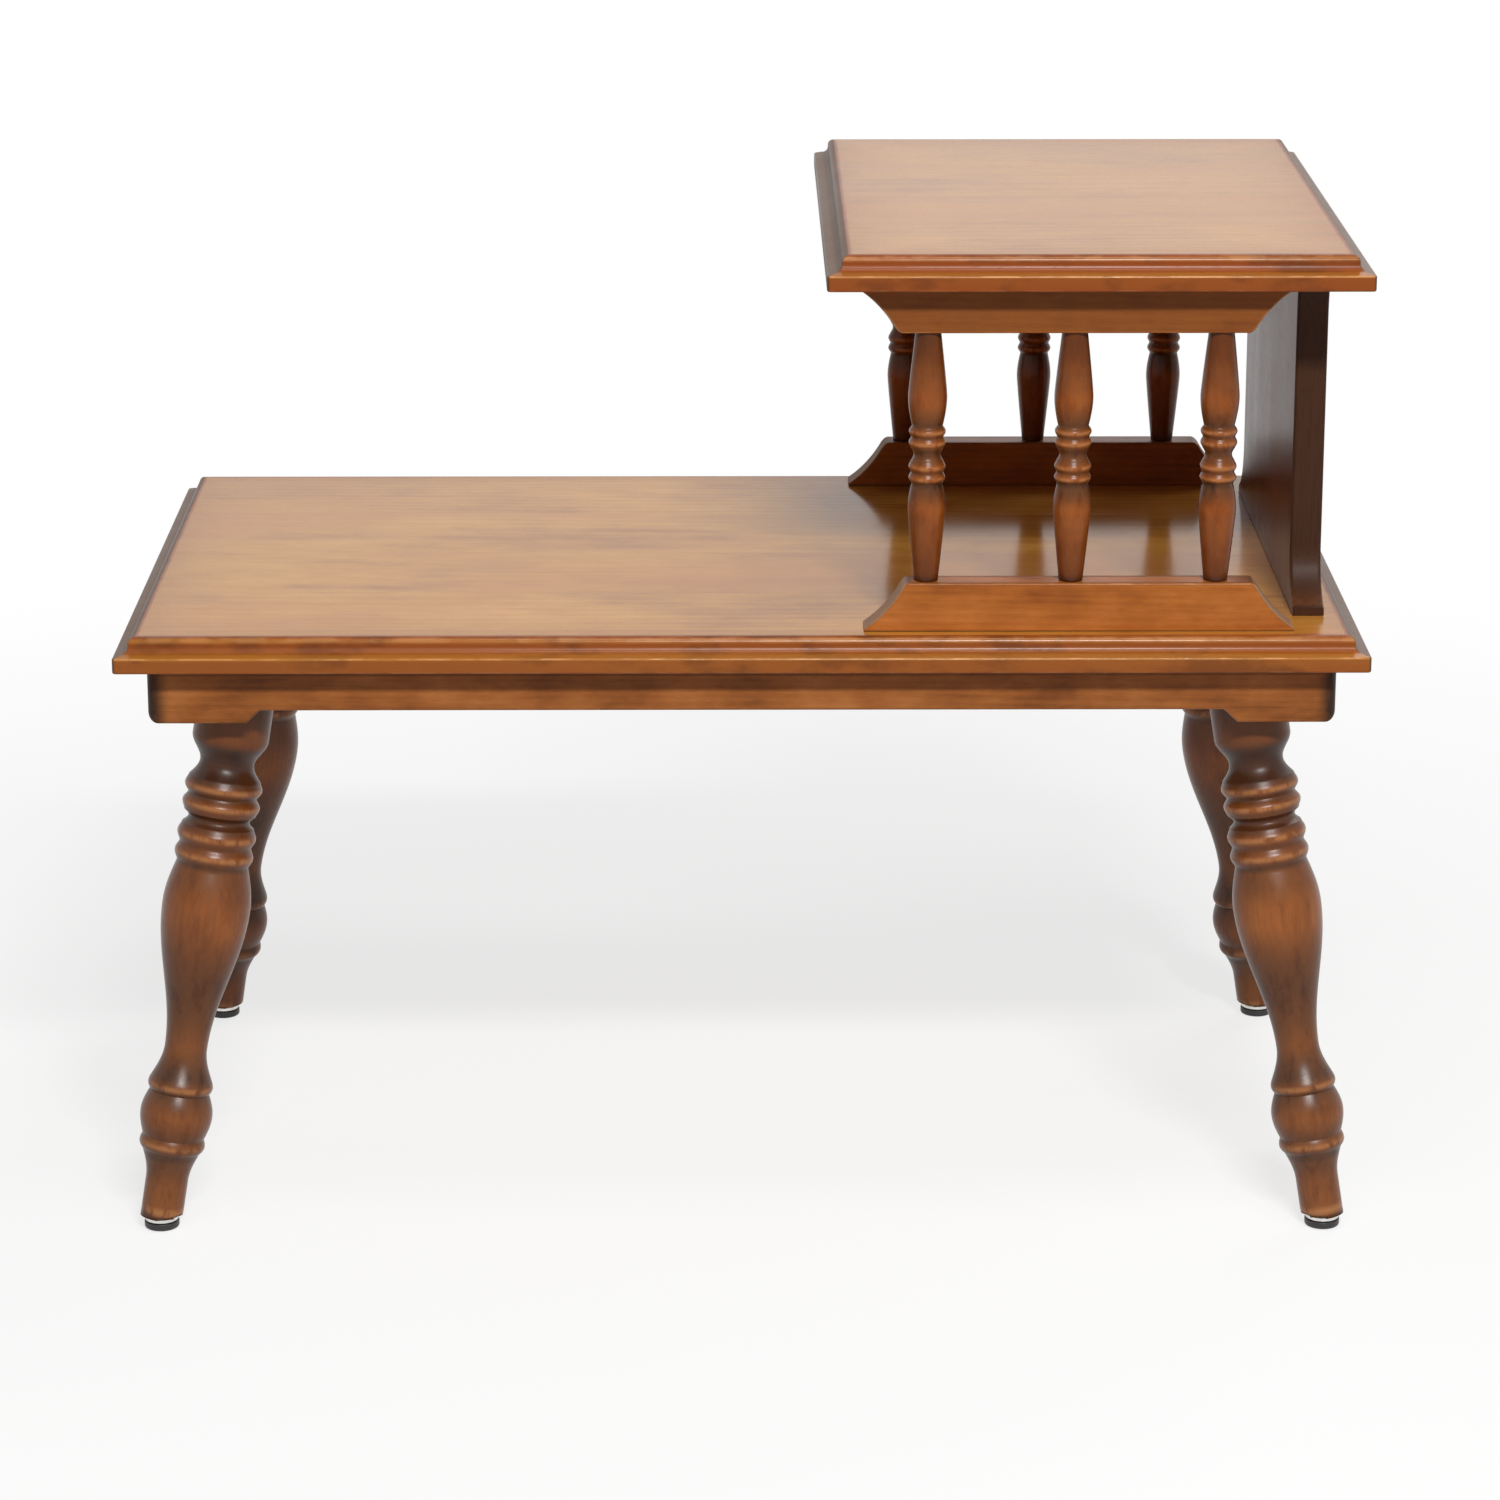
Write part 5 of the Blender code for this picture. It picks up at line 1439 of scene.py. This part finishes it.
def build_gallery():
    """A row of spindles between two rails along the front and the back."""
    tenon_bore = cylinder_outline(
        -SPINDLE_TENON_LENGTH - FIT_GAP,
        SPINDLE_LENGTH + SPINDLE_TENON_LENGTH + FIT_GAP,
        SPINDLE_TENON_RADIUS + FIT_GAP,
    )
    outline = spindle_outline()
    upside_down = Matrix.Rotation(math.pi, 4, "Y")
    for row, (name, side) in enumerate(SIDES.items()):
        y = side * RAIL_MIDDLE
        places = [at(x, y, SPINDLE_BOTTOM) for x in SPINDLE_X]
        for number, place in enumerate(places):
            node = f"{name}_spindle_{number + 1}"
            spindle = add_object(f"{node}_turning", turn(outline, SPINDLE_SIDES))
            spindle.matrix_world = place
            set_turned_layers(
                spindle, outline, SPINDLE_STAIN_AND_SHADE, SPINDLE_RECESS_DEPTH, SPINDLE_RINGS, SPINDLE_RUBBED
            )
            finish_piece(spindle, node, SPINDLE_WOOD, "spindle", SPINDLES_PER_RAIL * row + number)
        lower_place = at(LOWER_RAIL_CENTRE, y, LOWER_RAIL_BOTTOM)
        # The lower rail gets painted shade on its walls.
        build_rail("lower_rail", name, lower_place, LOWER_RAIL_HEIGHT, [
            add_cutter(f"{name}_lower_bores", tenon_bore, places, SPINDLE_SIDES),
            screw_holes(f"{name}_rail_holes", own(RAIL_SCREWS, name), RAIL_SCREW_LENGTH, 2 * FIT_GAP),
        ], 0.0, LOWER_RAIL_TOP_PAINTED_SHADE)
        upper_place = at(GALLERY_CENTRE, y, UPPER_RAIL_TOP) @ upside_down
        dowels = own(RAIL_DOWELS, name).values()
        # The upper rail gets painted shade on its faces and walls.
        build_rail("upper_rail", name, upper_place, UPPER_RAIL_HEIGHT, [
            add_cutter(f"{name}_upper_bores", tenon_bore, places, SPINDLE_SIDES),
            add_cutter(f"{name}_dowel_holes", DOWEL_HOLE, dowels, FASTENER_SIDES),
        ], UPPER_RAIL_PAINTED_SHADE, UPPER_RAIL_PAINTED_SHADE)
    add_screws(RAIL_SCREWS, RAIL_SCREW_LENGTH)


def panel_outline():
    """End panel seen from its end: wide foot, narrow waist, flared head."""
    waist = PANEL_WAIST_WIDTH / 2
    foot_top = PANEL_FOOT_LIP + PANEL_FOOT_RISE
    lip = Vector((PANEL_FOOT_WIDTH / 2, PANEL_FOOT_LIP))
    foot_bend = Vector((waist, PANEL_FOOT_LIP + PANEL_FOOT_RISE / 3))
    head_start = Vector((waist, PANEL_HEIGHT - PANEL_HEAD_FALL))
    head_bend = Vector((waist, PANEL_HEIGHT - PANEL_HEAD_FALL / 3))
    head_end = Vector((PANEL_HEAD_WIDTH / 2, PANEL_HEIGHT))
    right = [(Vector((PANEL_FOOT_WIDTH / 2, 0)), PANEL_FOOT_ROUND, 0.0)]
    for share in shares(TAPER_STEPS):
        rounding = PANEL_LIP_ROUND + (PANEL_EDGE_ROUND - PANEL_LIP_ROUND) * min(1, 3 * share)
        right.append((curve_point(lip, foot_bend, Vector((waist, foot_top)), share), rounding, 0.0))
    for share in shares(TAPER_STEPS):
        rounding = PANEL_EDGE_ROUND + (PANEL_FOOT_ROUND - PANEL_EDGE_ROUND) * max(0, 4 * share - 3)
        right.append((curve_point(head_start, head_bend, head_end, share), rounding, 0.0))
    return mirrored(right)


def build_panel():
    piece = plank("end_panel_board", panel_outline(), PANEL_THICKNESS)
    piece.matrix_world = at(PANEL_MIDDLE, 0, LOWER_RAIL_BOTTOM) @ Matrix.Rotation(-math.pi / 2, 4, "Z")
    carve(piece, [
        screw_holes("panel_screw_holes", PANEL_SCREWS, PANEL_SCREW_LENGTH, 2 * FIT_GAP),
        add_cutter("panel_dowel_holes", DOWEL_HOLE, PANEL_DOWELS.values(), FASTENER_SIDES),
    ])
    finish_piece(piece, "end_panel", PANEL_WOOD, "panel")
    add_screws(PANEL_SCREWS, PANEL_SCREW_LENGTH)


def dress_dowels():
    """The hidden dowels keep their solids and get bare wood."""
    for node in [*RAIL_DOWELS, *PANEL_DOWELS]:
        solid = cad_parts[node]
        solid.data.materials.clear()
        solid.data.materials.append(DOWEL_WOOD)


# Stage, light and camera

FLOOR_HALF_SIZE = 15.0
FLOOR_LEVEL = -0.0004
FLOOR_SEEN = (0.96, 0.96, 0.955, 1.0)
FLOOR_SCATTER = (0.62, 0.61, 0.60, 1.0)
FLOOR_GLOW = 0.74
FLOOR_WHITE_FROM = 0.5
FLOOR_WHITE_BEYOND = 1.5
WHITE = (1.0, 1.0, 1.0, 1.0)
WORLD_LIGHT = 0.10
CAMERA_PLACE = (-0.008809, -2.887731, 1.08513)
CAMERA_LENS = 118.203
CAMERA_SENSOR = 36.0
CAMERA_PITCH = math.radians(16.384)
CAMERA_YAW = math.radians(0.284)

# Area lamps: place, width, height, power; all of them point at one target
LAMPS = {
    "front_lamp": ((0.5, -3.0, 2.7), 1.2, 0.3, 118.0),
    "overhead_lamp": ((0.1, -0.7, 2.4), 1.0, 0.6, 12.0),
    "back_lamp": ((1.5, 2.2, 2.3), 1.6, 1.6, 20.0),
}
LAMP_TARGET = (0, 0, 0.4)


def seen_directly(g):
    """1 for rays from the camera, a mirror or glass, 0 for light that is scattered."""
    path = g.node("ShaderNodeLightPath")
    value = path.outputs["Is Camera Ray"]
    for other in ("Is Glossy Ray", "Is Transmission Ray"):
        value = g.math("MAXIMUM", value, path.outputs[other])
    return value


def build_floor():
    """A pale floor that keeps the shadow, glows towards white in view and is clear from below."""
    mesh = bpy.data.meshes.new("studio_floor")
    corners = [(x * FLOOR_HALF_SIZE, y * FLOOR_HALF_SIZE, FLOOR_LEVEL) for x, y in ROUND_TO_LEFT]
    mesh.from_pydata(corners, [], [(0, 1, 2, 3)])
    floor = bpy.data.objects.new("studio_floor", mesh)
    bpy.context.scene.collection.objects.link(floor)
    g = Graph(bpy.data.materials.new("studio_floor_white"))
    g.tree.nodes.remove(g.shader)
    direct = seen_directly(g)
    diffuse = g.node("ShaderNodeBsdfDiffuse", {"Color": g.mix(direct, FLOOR_SCATTER, FLOOR_SEEN)})
    glow = g.node("ShaderNodeEmission", {"Color": WHITE})
    spot = g.node("ShaderNodeNewGeometry")
    reach = g.node("ShaderNodeVectorMath", {0: spot.outputs["Position"]}, operation="LENGTH")
    far = g.spread(reach.outputs["Value"], FLOOR_WHITE_FROM, FLOOR_WHITE_BEYOND, FLOOR_GLOW)
    lift = g.times(direct, far)
    pale = g.node("ShaderNodeMixShader", {0: lift, 1: diffuse.outputs[0], 2: glow.outputs[0]})
    in_view = g.node("ShaderNodeLightPath").outputs["Is Camera Ray"]
    below = g.times(spot.outputs["Backfacing"], in_view)
    clear = g.node("ShaderNodeBsdfTransparent")
    both = g.node("ShaderNodeMixShader", {0: below, 1: pale.outputs[0], 2: clear.outputs[0]})
    g.plug(g.tree.nodes["Material Output"].inputs["Surface"], both.outputs[0])
    mesh.materials.append(g.owner)


def build_world():
    """White all round where it is seen, and an even soft light elsewhere."""
    g = Graph(bpy.data.worlds.new("studio"))
    bpy.context.scene.world = g.owner
    background = g.tree.nodes["Background"]
    g.plug(background.inputs["Color"], WHITE)
    level = g.node("ShaderNodeMapRange", {"Value": seen_directly(g), "To Min": WORLD_LIGHT})
    g.plug(background.inputs["Strength"], level.outputs["Result"])


def add_lamp(name, place, width, height, power):
    light = bpy.data.lights.new(name, "AREA")
    light.shape = "RECTANGLE"
    light.size = width
    light.size_y = height
    light.energy = power
    lamp = bpy.data.objects.new(name, light)
    lamp.location = place
    lamp.rotation_mode = "QUATERNION"
    lamp.rotation_quaternion = (Vector(LAMP_TARGET) - Vector(place)).to_track_quat("-Z", "Y")
    bpy.context.scene.collection.objects.link(lamp)


def build_camera():
    data = bpy.data.cameras.new("photo_camera")
    data.lens = CAMERA_LENS
    data.sensor_width = CAMERA_SENSOR
    forward = Vector((
        math.sin(CAMERA_YAW) * math.cos(CAMERA_PITCH),
        math.cos(CAMERA_YAW) * math.cos(CAMERA_PITCH),
        -math.sin(CAMERA_PITCH),
    ))
    right = Vector((math.cos(CAMERA_YAW), -math.sin(CAMERA_YAW), 0))
    turned = Matrix((right, right.cross(forward), -forward)).transposed().to_4x4()
    camera = bpy.data.objects.new("photo_camera", data)
    camera.matrix_world = Matrix.Translation(CAMERA_PLACE) @ turned
    bpy.context.scene.collection.objects.link(camera)
    bpy.context.scene.camera = camera


build_tops()
build_aprons()
build_cleats()
build_legs()
build_gallery()
build_panel()
dress_dowels()
build_floor()
build_world()
for lamp_name, lamp_settings in LAMPS.items():
    add_lamp(lamp_name, *lamp_settings)
build_camera()
bpy.context.scene.view_settings.view_transform = "Standard"
